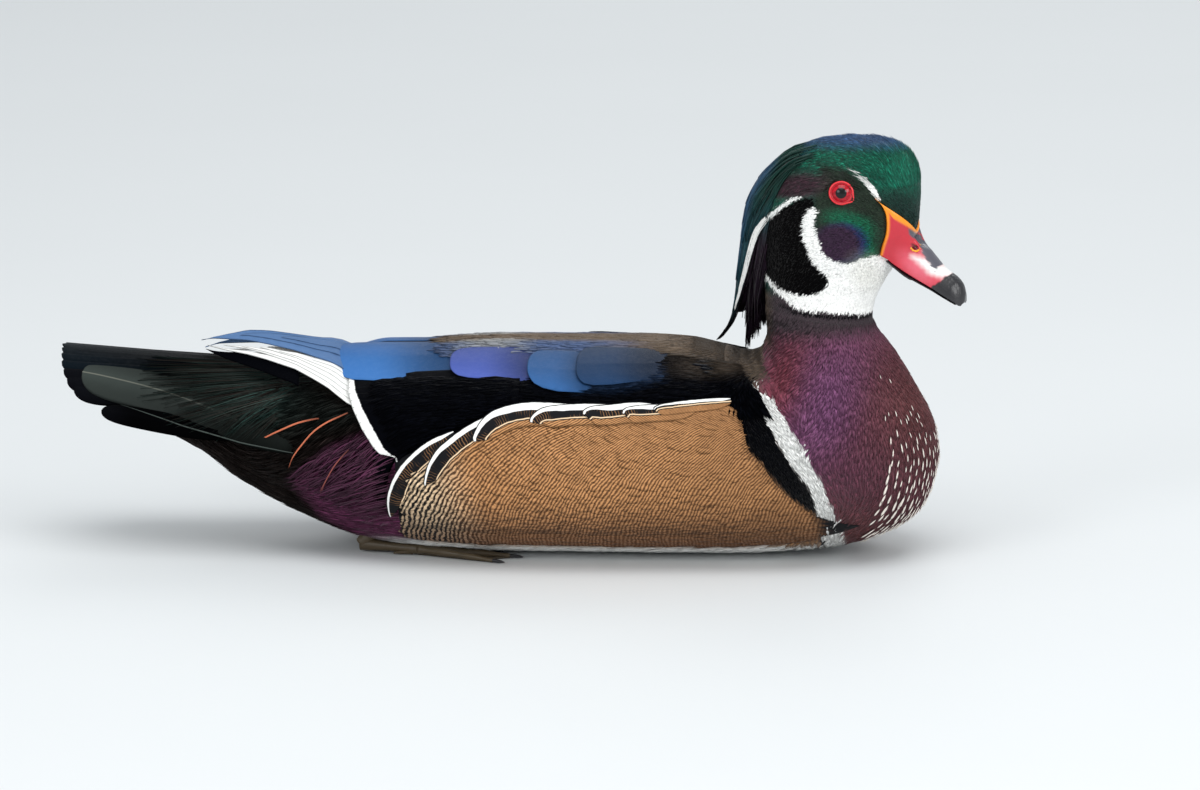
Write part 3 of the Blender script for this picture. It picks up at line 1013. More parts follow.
def tuft_tree():
    """Sets a tuft at every point, turned and sized by the point, and gives it its patch of the skin's unwrap."""
    if "Set tufts" in bpy.data.node_groups:
        return bpy.data.node_groups["Set tufts"]
    tree = bpy.data.node_groups.new("Set tufts", "GeometryNodeTree")
    sockets = [
        ("Geometry", "NodeSocketGeometry", None), ("Tuft", "NodeSocketObject", None),
        ("Material", "NodeSocketMaterial", None), ("Length variation", "NodeSocketFloat", 0.2),
        ("Patch", "NodeSocketFloat", 0.003), ("Seed", "NodeSocketInt", 1),
    ]
    for name, kind, value in sockets:
        socket = tree.interface.new_socket(name, in_out="INPUT", socket_type=kind)
        if value is not None:
            socket.default_value = value
    tree.interface.new_socket("Geometry", in_out="OUTPUT", socket_type="NodeSocketGeometry")
    ins, outs = tree.nodes.new("NodeGroupInput").outputs, tree.nodes.new("NodeGroupOutput").inputs
    named = lambda key: node(tree, "GeometryNodeInputNamedAttribute", {"Name": key},
                             data_type="FLOAT_VECTOR").outputs["Attribute"]
    turn = node(tree, "FunctionNodeEulerToRotation", {"Euler": named("turn")}).outputs[0]
    spread = node(tree, "FunctionNodeRandomValue", {"Seed": ins["Seed"]}, data_type="FLOAT")
    spread_in = [s for s in spread.inputs if s.enabled]
    for socket, operation in zip(spread_in, ("SUBTRACT", "ADD")):
        limit = node(tree, "ShaderNodeMath", {0: 1.0, 1: ins["Length variation"]}, operation=operation)
        tree.links.new(limit.outputs[0], socket)
    factor = [s for s in spread.outputs if s.enabled][0]
    size = node(tree, "ShaderNodeVectorMath", {0: named("size"), "Scale": factor}, operation="SCALE").outputs[0]
    tuft = node(tree, "GeometryNodeObjectInfo", {"Object": ins["Tuft"]}).outputs["Geometry"]
    grown = node(tree, "GeometryNodeInstanceOnPoints", {"Points": ins["Geometry"], "Instance": tuft, "Rotation": turn,
                                                        "Scale": size}).outputs[0]
    real = node(tree, "GeometryNodeRealizeInstances", {"Geometry": grown}).outputs[0]
    small = node(tree, "ShaderNodeVectorMath", {0: named("leaf_uv"), "Scale": ins["Patch"]},
                 operation="SCALE").outputs[0]
    place = node(tree, "ShaderNodeVectorMath", {0: named("root_uv"), 1: small}, operation="ADD").outputs[0]
    stored = node(tree, "GeometryNodeStoreNamedAttribute", {"Geometry": real, "Name": "OFBake"}, data_type="FLOAT2",
                  domain="CORNER")
    tree.links.new(place, [s for s in stored.inputs if s.name == "Value" and s.enabled][0])
    last = node(tree, "GeometryNodeSetMaterial",
                {"Geometry": stored.outputs[0], "Material": ins["Material"]}).outputs[0]
    tree.links.new(last, outs["Geometry"])
    return tree


def scattered(count, places, angles, seed, weight=None):
    """Roots spread evenly over a stretch of skin, with their place on an unwrap of it."""
    n, m = 200, 220
    rows, cols = np.linspace(*places, n + 1), np.radians(np.linspace(*angles, m + 1))
    f = skin_frame(*crossed((rows[1:] + rows[:-1]) / 2, (cols[1:] + cols[:-1]) / 2))
    area = f.area.copy()
    if weight is not None:
        area *= weight(f)
    area = area.reshape(n, m) + 1e-9
    by_row = np.concatenate([[0], np.cumsum(area.sum(1))]) / area.sum()
    i = np.arange(count) + seed * 101
    u, v = ((i * step) % 1 for step in EVEN_STEPS)
    place = np.interp(u, by_row, rows)
    k = np.clip(np.searchsorted(by_row, u) - 1, 0, n - 1)
    run = np.cumsum(area, 1)
    run = run / run[:, -1:]
    j = np.clip(np.searchsorted((run + np.arange(n)[:, None]).ravel(), v + k) - k * m, 0, m - 1)
    low = np.where(j > 0, run[k, np.maximum(j - 1, 0)], 0)
    angle = cols[j] + (v - low) / (run[k, j] - low + 1e-12) * (cols[j + 1] - cols[j])
    return place, angle, np.stack([0.003 + 0.994 * u, 0.003 + 0.994 * v, np.zeros(count)], 1)


def coat(name, places, angles, count, size, material, leaf="fine", weight=None, rise=6.0, jitter=9.0, lift=None, seed=1,
         paint=plumage, lie=None, slot=None, shade=0.16):
    """One piece of the coat: tufts of the given length, width and thickness over a stretch of skin."""
    count = int(count * sizes().coat_density)
    rng = np.random.default_rng(sizes().seed * 1000 + seed)
    place, angle, root_uv = scattered(count, places, angles, seed, weight)
    f = skin_frame(place, angle)
    flat_way = lie_at(f.flat, f.flat_normal) if lie is None else lie(f)
    yaw = np.radians(rng.normal(0, jitter, count))[:, None]
    flat_way = unit(flat_way * np.cos(yaw) + np.cross(f.flat_normal, flat_way) * np.sin(yaw))
    way = turn_only(flat_way, f.share)
    up = np.radians(rise + rng.normal(0, rise * 0.35, count))[:, None]
    x_axis = way * np.cos(up) + f.normal * np.sin(up)
    y_axis = unit(np.cross(f.normal, x_axis))
    z_axis = np.cross(x_axis, y_axis)
    turn = np.stack([np.arctan2(y_axis[:, 2], z_axis[:, 2]), -np.arcsin(np.clip(x_axis[:, 2], -1, 1)),
                     np.arctan2(x_axis[:, 1], x_axis[:, 0])], 1)
    size = np.broadcast_to(size(f) if callable(size) else size, (count, 3)) * rng.normal(1, 0.1, (count, 1))
    if lift is None:
        lift = -0.75 * coat_depth(place)
    root = f.point + f.normal * np.reshape(lift(f) if callable(lift) else lift, (-1, 1))
    tips = f.flat + flat_way * size[:, :1] * 0.75 + rng.normal(0, STRAY, (count, 3))
    done = paint(tips, place, angle)
    tint = np.clip(done.tint * np.exp(rng.normal(0, 1, (count, 1)) * shade
                                      * (1 - 0.85 * done.tint.min(1, keepdims=True))), 0, 1)
    mesh = bpy.data.meshes.new(name)
    mesh.vertices.add(count)
    mesh.vertices.foreach_set("co", (root * MM).ravel())
    for key, value in (("turn", turn), ("size", size * MM), ("tint", tint), ("gloss", done.gloss),
                       ("root_uv", root_uv)):
        store(mesh, key, value)
    piece = bpy.data.objects.new(name, mesh)
    bpy.context.scene.collection.objects.link(piece)
    tuft = leaf_object(name + "_leaf", FINE_LEAF if leaf == "fine" else BROAD_LEAF)
    modifier = piece.modifiers.new("Tufts", "NODES")
    modifier.node_group = tuft_tree()
    given = {"Tuft": tuft, "Material": material, "Seed": seed, "Length variation": 0.2}
    for item in modifier.node_group.interface.items_tree:
        if item.item_type == "SOCKET" and item.in_out == "INPUT" and item.name in given:
            modifier[item.identifier] = given[item.name]
    graph = bpy.context.evaluated_depsgraph_get()
    result = bpy.data.meshes.new_from_object(piece.evaluated_get(graph), preserve_all_data_layers=True, depsgraph=graph)
    piece.modifiers.clear()
    piece.data = result
    result.name = name
    for key in ("turn", "size", "root_uv", "leaf_uv"):
        if key in result.attributes:
            result.attributes.remove(result.attributes[key])
    spots = np.empty(len(result.vertices) * 3, np.float32)
    result.vertices.foreach_get("co", spots)
    spots[2::3] = np.maximum(spots[2::3], 0.00005)
    result.vertices.foreach_set("co", spots)
    if not result.materials:
        result.materials.append(material)
    result.update()
    bpy.data.objects.remove(tuft)
    settled(piece)
    if "OFBake" not in result.uv_layers:
        raise RuntimeError(name + " has no unwrap of its tufts")
    return piece


def coat_depth(place):
    s = sizes()
    return s.coat_depth / MM + (s.face_depth - s.coat_depth) / MM * eased(place, 14, 18)


def eye_axis(side):
    """The way an eye looks: side is 1 for the right eye and -1 for the left."""
    return unit(np.array([0.2, -side, 0.1]))


def clear_of_bill(f):
    """Nothing grows where the bill's base and the eyes are."""
    a = np.abs((np.degrees(f.angle) + 180) % 360 - 180)
    spots = np.stack([a, f.place * 10], 1)
    base = [(p[1], p[0] * 10) for p in BILL_BASE] + [(186, 199), (186, 188)]
    on_bill = inside(spots, base, 0.8)
    away = np.full(len(a), 99.0)
    for side in (1, -1):
        axis = eye_axis(side)
        d = f.flat - EYE * [1, side, 1]
        off = d - (d @ axis)[:, None] * axis
        corner = np.exp(-((np.arctan2(off[:, 2], off[:, 0]) - EYE_CORNER) / 0.35) ** 2)
        away = np.minimum(away, np.where(d[:, 1] * -side > -4, np.linalg.norm(off, axis=1) - 1.9 * corner, 99))
    return (1 - on_bill) * eased(away, 5.6, 6.0)


BILL_BASE = [(19.15, 143), (19.55, 139.6), (20.05, 137), (20.75, 132), (21.2, 125), (21.42, 119.5)] + \
    [(21.42 - 1.52 * ((a - 119.5) / 60.5) ** 0.85, a) for a in (124, 130, 137, 145, 153, 161, 170, 180)]


# Pieces

ALL_ROUND = (-180, 180)


def make_skin():
    """One skin for rump, torso, breast, neck and head, a coat's depth inside the solids."""
    arcs = np.linspace(0, CROWN, 700)
    f = flat_skin(arcs, np.full(700, math.pi * 0.55))
    reach = reach_along(f, 0.12)
    rows, cols = 200, 132
    places = np.interp(np.linspace(0, reach[-1], rows), reach, arcs)
    place, angle = crossed(places, circle(cols))
    f = skin_frame(place, angle)
    points = f.point - f.normal * coat_depth(place)[:, None]
    points[:, 2] = np.maximum(points[:, 2], 0.4)
    rings = points.reshape(rows, cols, 3)
    points, faces = lofted(rings)
    done = plumage(f.flat, place, angle)
    tint = np.concatenate([done.tint, done.tint[:1], done.tint[-1:]]) * 0.8
    gloss = np.concatenate([done.gloss, done.gloss[:1], done.gloss[-1:]])
    # the unwrap: round the body by its angle, along it by the length of its skin
    v = np.concatenate([np.repeat(np.arange(rows), cols), [0, rows - 1]]) / (rows - 1)
    u = np.concatenate([np.tile(np.arange(cols), rows), [0, 0]]) / cols
    us, vs = u[faces], v[faces]
    us = np.where((us.max(1, keepdims=True) > 0.9) & (us < 0.1), 1.0, us)
    patches = np.stack([0.002 + 0.996 * us, 0.002 + 0.996 * vs], -1).reshape(-1, 2)
    finished("skin", points, faces, coat_material("skin_under_feathers"), {"tint": tint, "gloss": gloss}, patches,
             replaces=("rump", "torso", "breast", "neck", "head"), slot="plumage_brown")


def hollow_front(f):
    """The forehead and the front of the neck curve inwards, so the feathers' roots stand further out there."""
    x, z = f.flat[:, 0], f.flat[:, 2]
    neck = eased(z, 84, 98) * (1 - eased(z, 130, 138)) * eased(x, 146, 160) * (f.place < 16.4)
    return coat_depth(f.place) * (-0.75 + 0.35 * np.maximum(neck, eased(z, 150, 156) * eased(x, 172, 182)))


def make_head_coat():
    s = sizes()
    gloss = coat_material("head_feathers", 0.62, 0.32, 0.05, 0.5)
    face, crown = s.face_tuft / MM, s.crown_tuft / MM

    def face_size(f):
        near = 1 - eased(np.linalg.norm(f.xz - EYE[[0, 2]], axis=1), 7, 14)
        long = face * (1 - 0.35 * near)
        return np.stack([long, 0.76 - 0.15 * near, np.full(len(long), 0.22)], 1)

    green = dict(weight=clear_of_bill, slot="plumage_green")
    for side, angles, seed in (("right", (20, 181), 11), ("left", (179, 340), 12)):
        coat("face_coat_" + side, (18.4, 22.0), angles, 22000, face_size, gloss, lift=hollow_front,
             rise=2.0, jitter=5, seed=seed, shade=0.2, **green)
    coat("crown_coat", (21.7, 26), ALL_ROUND, 24000, (crown, 0.8, 0.3), gloss, lift=hollow_front,
         rise=3, jitter=5, seed=13, shade=0.27, **green)
    coat("nape_coat", (17.6, 22.2), (-36, 36), 5000, (crown, 0.95, 0.35), gloss, rise=3, jitter=6, seed=14, shade=0.25,
         **green)
    coat("throat_coat", (15.9, 18.7), ALL_ROUND, 18000, (face * 1.3, 0.88, 0.22), gloss,
         weight=clear_of_bill, rise=1.4, jitter=4, seed=15, shade=0.08, slot="plumage_chestnut")


def on_flank(f):
    """Where the fine-lined feathers of the flank grow, by where their tips come to lie."""
    tips = f.flat + flank_lie(f) * 6
    return inside(tips[:, [0, 2]], FLANK_LINED, 0.6) * inside(f.xz, FLANK_LINED, 0.6)


def flank_lie(f):
    """The feathers of the flank lie to the rear, and upwards near its upper edge."""
    x, z = f.flat[:, 0], f.flat[:, 2]
    up = 0.75 * eased(z, 20, 78) * eased(-x, -130, -10)
    way = np.stack([-np.ones(len(x)), np.zeros(len(x)), up], 1)
    way -= np.sum(way * f.flat_normal, 1, keepdims=True) * f.flat_normal
    return unit(way)


def ahead_of_flank(f):
    """The breast's feathers grow in front of the flank's edge, and over the shoulder above it."""
    edge = np.array(FLANK_FRONT, float)
    front = f.flat[:, 0] - np.interp(f.flat[:, 2], edge[::-1, 1], edge[::-1, 0])
    return eased(front, -3, -1)


def mantle(flat, place, angle):
    """The plumage, with grey-blue glints and olive on the back."""
    c = paints()
    p = plumage(flat, place, angle)
    x, a = flat[:, 0], np.degrees(half_turn(angle))
    back = 1 - eased(x, 84, 104)
    p.lay(back * eased(a, 5, 11) * (1 - eased(x, 30, 70)), c.tertial_blue * 0.35 + c.nape * 0.4, 0.3)
    p.lay(back * spot(flat[:, [0, 2]], (-10, 92), (18, 9), 0, 0.8) * eased(a, 3, 7) * 0.7, np.array([0.2, 0.2, 0.19]),
          0.2)
    p.lay(back * (1 - eased(x, -60, -36)) * 0.8, c.velvet, 0.1)
    p.tint = p.tint * (1 + 0.7 * back * eased(x, -45, -25))[:, None]
    return p


def make_body_coat():
    s = sizes()
    soft = coat_material("body_feathers", 0.66, 0.42, 0.05, 0.3, 0.25)
    dark = coat_material("rump_feathers", 0.6, 0.45, 0.0, 0.35, 0.15)
    breast, rump, belly = s.breast_tuft / MM, s.rump_tuft / MM, s.belly_tuft / MM
    coat("neck_coat", (12.7, 16.2), ALL_ROUND, 19000, (breast * 0.8, 0.95, 0.35), soft,
         rise=7, jitter=9, seed=21, lift=hollow_front, slot="plumage_chestnut")

    def size(f):
        bar = np.clip(inside(f.xz, WHITE_BAR, 3) + inside(f.xz, BLACK_BAR, 2), 0, 1)
        return np.stack([breast * (1 - 0.2 * bar), 1.15 - 0.4 * bar, 0.38 - 0.24 * bar], 1)

    for side, angles, seed in (("right", (18, 181), 22), ("left", (179, 342), 23)):
        coat("breast_coat_" + side, (8.6, 13.8), angles, 20000, size, soft, rise=6, jitter=7, seed=seed,
             lift=hollow_front, slot="plumage_chestnut", weight=ahead_of_flank)
    coat("rump_coat", (1.2, 5.5), ALL_ROUND, 18000, (rump, 0.8, 0.35), dark,
         rise=3, jitter=4, seed=24, slot="plumage_black", shade=0.4)
    coat("undertail_coat", (0.7, 1.4), ALL_ROUND, 3500, (rump * 0.7, 1.2, 0.4), dark,
         rise=2, jitter=5, seed=25, slot="plumage_black")
    coat("belly_coat", (4.9, 10), (118, 242), 8000, (belly, 2.6, 0.5), soft, rise=3, jitter=8, seed=26,
         slot="plumage_brown")

    def over_back(f):
        """The mantle grows between the wings, wider and thicker towards the shoulders."""
        wider = 0.45 * eased(f.place, 8.4, 9.8)
        between = 1 - eased(half_turn(f.angle), 0.3 + wider, 0.36 + wider)
        return np.where(f.place > 9, 1.6, 1.0) * eased(axis_x(f.place), -32, -22) * between

    def over_wings(f):
        x = axis_x(f.place)
        return np.where(x < 118, np.maximum(wing_lift(x, f.angle), 0), 0) - 0.3 - 0.8 * eased(f.place, 9, 10)

    coat("mantle_coat", (5.6, 13.5), (-40, 40), 7500, (belly, 2.2, 0.3), soft, leaf="broad",
         rise=2.5, jitter=5, seed=27, slot="plumage_brown", paint=mantle, weight=over_back, lift=over_wings)


def make_flecks():
    """White flecks on the breast, larger towards the belly."""
    s = sizes()
    c = paints()
    soft = coat_material("fleck_feathers", 0.6, 0.5, 0.05, 0.12)
    size = s.fleck / MM

    def weight(f):
        z = f.flat[:, 2]
        front = inside(f.xz, [(174, 104), (188, 87), (198, 66), (212, 60), (212, -2), (168, -2), (172, 20), (178, 40),
                              (183, 60)], 1)
        return front * (0.3 + 0.7 * eased(-z, -95, -40)) * eased(z, 3, 8)

    def fleck_size(f):
        low = eased(-f.flat[:, 2], -96, -12)
        return np.stack([size * (0.36 + 0.5 * low), 0.5 + 1.3 * low ** 1.5, np.full(len(low), 0.4)], 1)

    paint = lambda flat, place, angle: Painted(len(place), c.white * [0.94, 0.86, 0.8], 0)
    coat("breast_flecks", (9.9, 14.4), (70, 290), 300, fleck_size, soft, leaf="broad", weight=weight, rise=5, jitter=5,
         seed=31,
         paint=paint, lift=0.0, shade=0.08, slot="plumage_chestnut")


def crest_tint(xz, c):
    """Colour along the crest: green and blue outside its white line, plum black inside."""
    line = np.array(CREST_LINE)
    order = np.argsort(line[:, 1])
    side = xz[:, 0] - np.interp(xz[:, 1], line[order, 1], line[order, 0])
    p = Painted(len(xz), c.crest_teal, 0.5)
    p.lay(eased(xz[:, 1], 150, 180), c.crown_deep, 0.5)
    p.lay(stroke(xz, [(124, 187), (114, 172), (108, 150), (105, 130)], [3, 3, 2.5, 1.5], 3) * 0.3, c.crown_blue, 0.6)
    p.lay(1 - eased(xz[:, 1], 104, 122), c.velvet, 0.35)
    p.lay(eased(side, 0.4, 1.6) * (1 - eased(xz[:, 1], 150, 160)), c.crest_dark, 0.3)
    return p, side


def make_crest():
    """The drooping crest: long thin strands gathered into locks, with a white line through it."""
    s = sizes()
    c = paints()
    rng = np.random.default_rng(s.seed + 5)
    made = Gathered()
    patches = []
    t = towards_tip(12, 1.2)
    outer, inner = np.array(CREST_OUTER), np.array(CREST_INNER)
    last = len(outer) - 1

    def strand_of(spine, normal, width, place, angle, white=False, shade=0.2):
        half = width / 2 * (0.5 + 0.5 * swelling(t, 0.4)) * np.clip(1 - t ** 2.6, 0.03, 1)
        strand = feather(spine, normal, half, 3, 0.4, 0.1)
        done, _ = crest_tint(strand.points[:, [0, 2]], c)
        if white:
            done.lay(np.clip(eased(strand.points[:, 2], 98, 108), 0, 1), c.white, 0)
        tint = np.clip(done.tint * math.exp(rng.normal(0, shade)), 0, 1)
        made.add(turned(strand.points), strand.faces, tint=tint, gloss=done.gloss)
        spot_uv = np.array([0.01 + 0.98 * (angle / math.radians(220) + 0.5), 0.01 + 0.98 * np.clip(place, 0, 1)])
        local = np.stack([strand.along / strand.length - 0.5, np.clip(strand.across, -1, 1) * 0.3], 1) * 0.003
        patches.append((spot_uv + local)[strand.faces].reshape(-1, 2))

    def on_crest(s_at, phi, out=0.0):
        """A point of the crest: how far down it, the turn round it from its outer edge, and how far it stands off."""
        a, b = splined(outer, s_at), splined(inner, s_at)
        side = splined(np.array(CREST_SIDE)[:, None], s_at)[:, 0]
        xz = a + (b - a) * (1 - np.cos(phi))[:, None]
        way = unit(a - b)
        x, z = (xz[:, k] + way[:, k] * np.cos(phi) * out for k in (0, 1))
        return np.stack([x, -(side + out) * np.sin(phi), z], 1)

    def crest_normal(s_at, phi):
        """The way out of the crest there."""
        a, b = splined(outer, s_at), splined(inner, s_at)
        way = unit(a - b)
        return np.stack([way[:, 0] * np.cos(phi), -np.sin(phi), way[:, 1] * np.cos(phi)], 1)

    # long strands along the crest's own surface; those nearest its middle reach furthest down
    for layer, count in ((-1.6, 260), (-0.8, 420), (-0.1, 560)):
        for _ in range(count):
            phi = math.radians(rng.uniform(-88, 88))
            start = 8.2 * rng.random() ** 0.9
            limit = last - 2.4 * abs(math.sin(phi)) ** 1.5 - 1.6 * rng.random() ** 2
            end = min(start + 2.4 + 2.6 * rng.random(), limit)
            if end < start + 1.0:
                continue
            s_at = start + (end - start) * t
            turn = np.full(len(t), phi) * (1 - 0.12 * t) + 0.06 * np.sin(rng.uniform(0, 6) + t * 3)
            out = layer + rng.normal(0, 0.12) - 1.0 * (1 - eased(t, 0, 0.3)) + 0.5 * eased(t, 0.6, 1) * rng.random()
            width = s.crest_strand / MM * (0.7 + 0.5 * rng.random())
            strand_of(on_crest(s_at, turn, out), crest_normal(s_at, turn), width, 1 - start / last, phi)
    # a second lock, dark, under the first: its strands end at one of four tips
    lock_tips = [(111.8, 1.2, 95.5), (114.5, 3.2, 100), (118.6, 5, 105.5), (121.5, 6.5, 113)]
    for _ in range(330):
        side = 1 if rng.random() < 0.5 else -1
        w = rng.random()
        root = skin_frame(18.0 + 2.2 * rng.random(), math.radians(4 + 36 * w)).flat[0] * [1, side, 1]
        tip_x, tip_y, tip_z = lock_tips[min(3, int(w * 3 + 1.2 * rng.random()))]
        short = 16 * rng.random() ** 2.2
        tip = np.array([tip_x + rng.normal(0, 0.8), -side * (tip_y + 0.06 * short) + rng.normal(0, 0.6), tip_z + short])
        keys = [root, root * 0.5 + tip * 0.5 + [-1.2, -side * 1.2, 0], root * 0.2 + tip * 0.8 + [-0.6, 0, 0], tip]
        width = s.crest_strand / MM * (0.65 + 0.5 * rng.random())
        strand_of(splined(np.array(keys), t * 3), np.array([-0.5, -side, 0.2]), width, 0.2, math.radians(90 * side * w))
    # the white line runs down over the sides of the crest: keys give how far down and how far round
    keys = np.array([(4.0, 90), (4.5, 85), (5, 80), (6, 72.5), (7, 63), (8, 48), (8.5, 40)])
    for side in (1, -1):
        for _ in range(48):
            start = rng.choice([0.0, 1.0, 2.0, 3.0, 4.0]) + 0.6 * rng.random()
            end = min(start + 2.2 + 1.6 * rng.random(), 5.4 + 0.6 * rng.random())
            at = splined(keys, start + (end - start) * t)
            phi = np.radians(side * (at[:, 1] + rng.normal(0, 3.4)))
            spine = on_crest(at[:, 0], phi, 0.35 + 0.2 * rng.random())
            strand_of(spine, crest_normal(at[:, 0], phi), 0.5, 1 - start / 8, phi[0], white=True, shade=0.03)
    # a dark core behind the strands, so that no light shows through the crest
    round_core = np.radians(np.linspace(-84, 84, 15))

    def core_row(s_at, out):
        return on_crest(np.full(15, s_at), round_core, max(out, -0.75 * np.interp(s_at, range(11), CREST_SIDE)))

    points, faces = shell(*(np.array([core_row(s_at, out) for s_at in np.linspace(0.8, 8.6, 16)])
                            for out in (-4.0, -1.7)))
    done, _ = crest_tint(points[:, [0, 2]], c)
    made.add(turned(points), faces, tint=done.tint * 0.4, gloss=done.gloss)
    patches.append(np.full((len(faces) * 3, 2), 0.5) + points[faces].reshape(-1, 3)[:, [1, 2]] / 4000 - [0, 0.04])
    made.made("crest", coat_material("crest_strands", 0.5, 0.3, 0.05, 0.3),
              patches=np.clip(np.concatenate(patches), 0.001, 0.999), replaces=("crest",), slot="plumage_green")


def tail_point(t, u, lift):
    """A point of the tail: t runs from its root to its tip, u across it from -1 to 1."""
    half = 40 + (33 - 40) * t
    drop = 26 + (22 - 26) * t
    return np.stack([-104 - 113 * t, -u * half + 0 * t, 85.6 + 8 * t - drop * u * u + lift], -1)


def make_tail():
    """Long black tail feathers, a broad grey one outside them, and fine coverts that fan over their roots."""
    c = paints()
    rng = np.random.default_rng(sizes().seed + 9)
    made = Gathered()
    t = towards_tip(30, 1.6)

    def blade(us, end, inner, outer, tint, lift, side, shaft=0.0, gloss=0.25, camber=0.05, start=0.02, near=0.45):
        run = start + (end - start) * t
        u = side * splined(np.array(us, float)[:, None], t * (len(us) - 1))[:, 0]
        spine = tail_point(run, u, np.broadcast_to(lift, (len(t),)) + 0.4 * t)
        grown = 0.5 + 0.5 * swelling(t, 0.55)
        webs = ((inner, 16), (outer, 13))
        half = np.stack([wide * grown * np.clip(1 - t ** blunt, 0, 1) ** 0.5 for wide, blunt in webs], 1) + 0.1
        half = half[:, ::-1] if side < 0 else half
        vane = feather(spine, np.stack([0 * t, -1.33 * u, 1 + 0 * t], 1), half, 15, 0.5, camber, 0.3)
        far = eased(vane.along, vane.length * near, vane.length)[:, None]
        middle = (0.7 + 0.45 * np.exp(-(vane.across / 5) ** 2))[:, None]
        made.add_feather(vane, tint=tint * (0.25 + 0.85 * far) * middle, tint_b=c.velvet, zone=-1.0, gloss=gloss,
                         shaft=shaft * far[:, 0])

    for side in (1, -1):
        shy = 0.012 if side < 0 else 0
        for i, u in enumerate((0.06, 0.2, 0.34, 0.48, 0.6, 0.71, 0.8)):
            end = np.interp(u, [0, 0.45, 0.6, 0.72, 0.8], [1, 0.99, 0.975, 0.955, 0.925]) - shy
            tint = c.tail_black + np.array([0.0, 0.003, 0.005]) * (i < 4)
            blade((u * 0.7, u * 0.85, u), end, 8.5, 7.5 if i < 5 else 5.5, tint, 1.6 - 0.3 * i, side, camber=0.2)
        blade((0.98, 1.03, 1.02), 0.80, 5.5, 5.5, c.tail_black * 0.6, -2.2 + 3.4 * t, side, near=0.8)
        blade((1.02, 0.97, 0.86, 0.75, 0.67, 0.61), 0.895, 12.5, 12.5, c.tail_grey, -1.4 + 2.2 * eased(t, 0, 0.35),
              side, shaft=0.45, gloss=0.15, camber=0.14, start=-0.02, near=0.15)
        # the pale edge along its lower side
        run = -0.02 + 0.74 * t
        rail = tail_point(run, side * np.interp(run, [0, 0.2, 0.45, 0.72], [1.14, 1.12, 1.05, 0.93]),
                          np.full(len(t), 1.0))
        half = 0.35 * np.sin(np.clip(t * 0.9 + 0.1, 0, 1) * math.pi) ** 0.5 + 0.05
        edge = feather(rail, np.array([0, -1.33 * side, 1.0]), half, 3, 0.4, 0)
        made.add_feather(edge, tint=c.tail_grey * 2.2, tint_b=c.velvet, zone=-1.0, gloss=0.1, shaft=0)
    # fine coverts, above and below
    run = towards_tip(10, 1.2)
    for below, count in ((0, 1050), (1, 110)):
        for _ in range(count):
            side = 1 if rng.random() < 0.5 else -1
            u = 1.12 * rng.random() ** 0.75
            start = -0.14 + 0.2 * rng.random()
            end = max(start + 0.22, 0.2 + 0.46 * rng.random() ** 1.2 + 0.06 * (u < 0.35) - 0.12 * (u > 0.9))
            lift = (0.9 + 1.1 * rng.random()) * (1 if not below else -1.6)
            raised = lift * (1 - 0.5 * run) + (0 if below else 0.9)
            spine = tail_point(start + (end - start) * run, side * u * (0.6 + 0.4 * run ** 1.2), raised)
            half = (0.18 + 0.26 * rng.random()) * np.clip(1 - run ** 2.2, 0.05, 1)
            strand = feather(spine, np.array([0, -1.33 * side * u, 1.0]) * (-1 if below else 1), half, 3, 0.3, 0.1)
            mix = rng.random()
            tint = c.rump * mix + c.rump_green * (1 - mix) * (0.3 + 0.8 * u)
            made.add_feather(strand, tint=tint * math.exp(rng.normal(1.05, 0.35)), tint_b=c.rump, zone=-1.0, gloss=0.2,
                             shaft=0)
    made.made("tail_feathers", vane_material("tail_vanes", 0.7, 0.25, 0.1), replaces=("tail",), slot="plumage_tail")


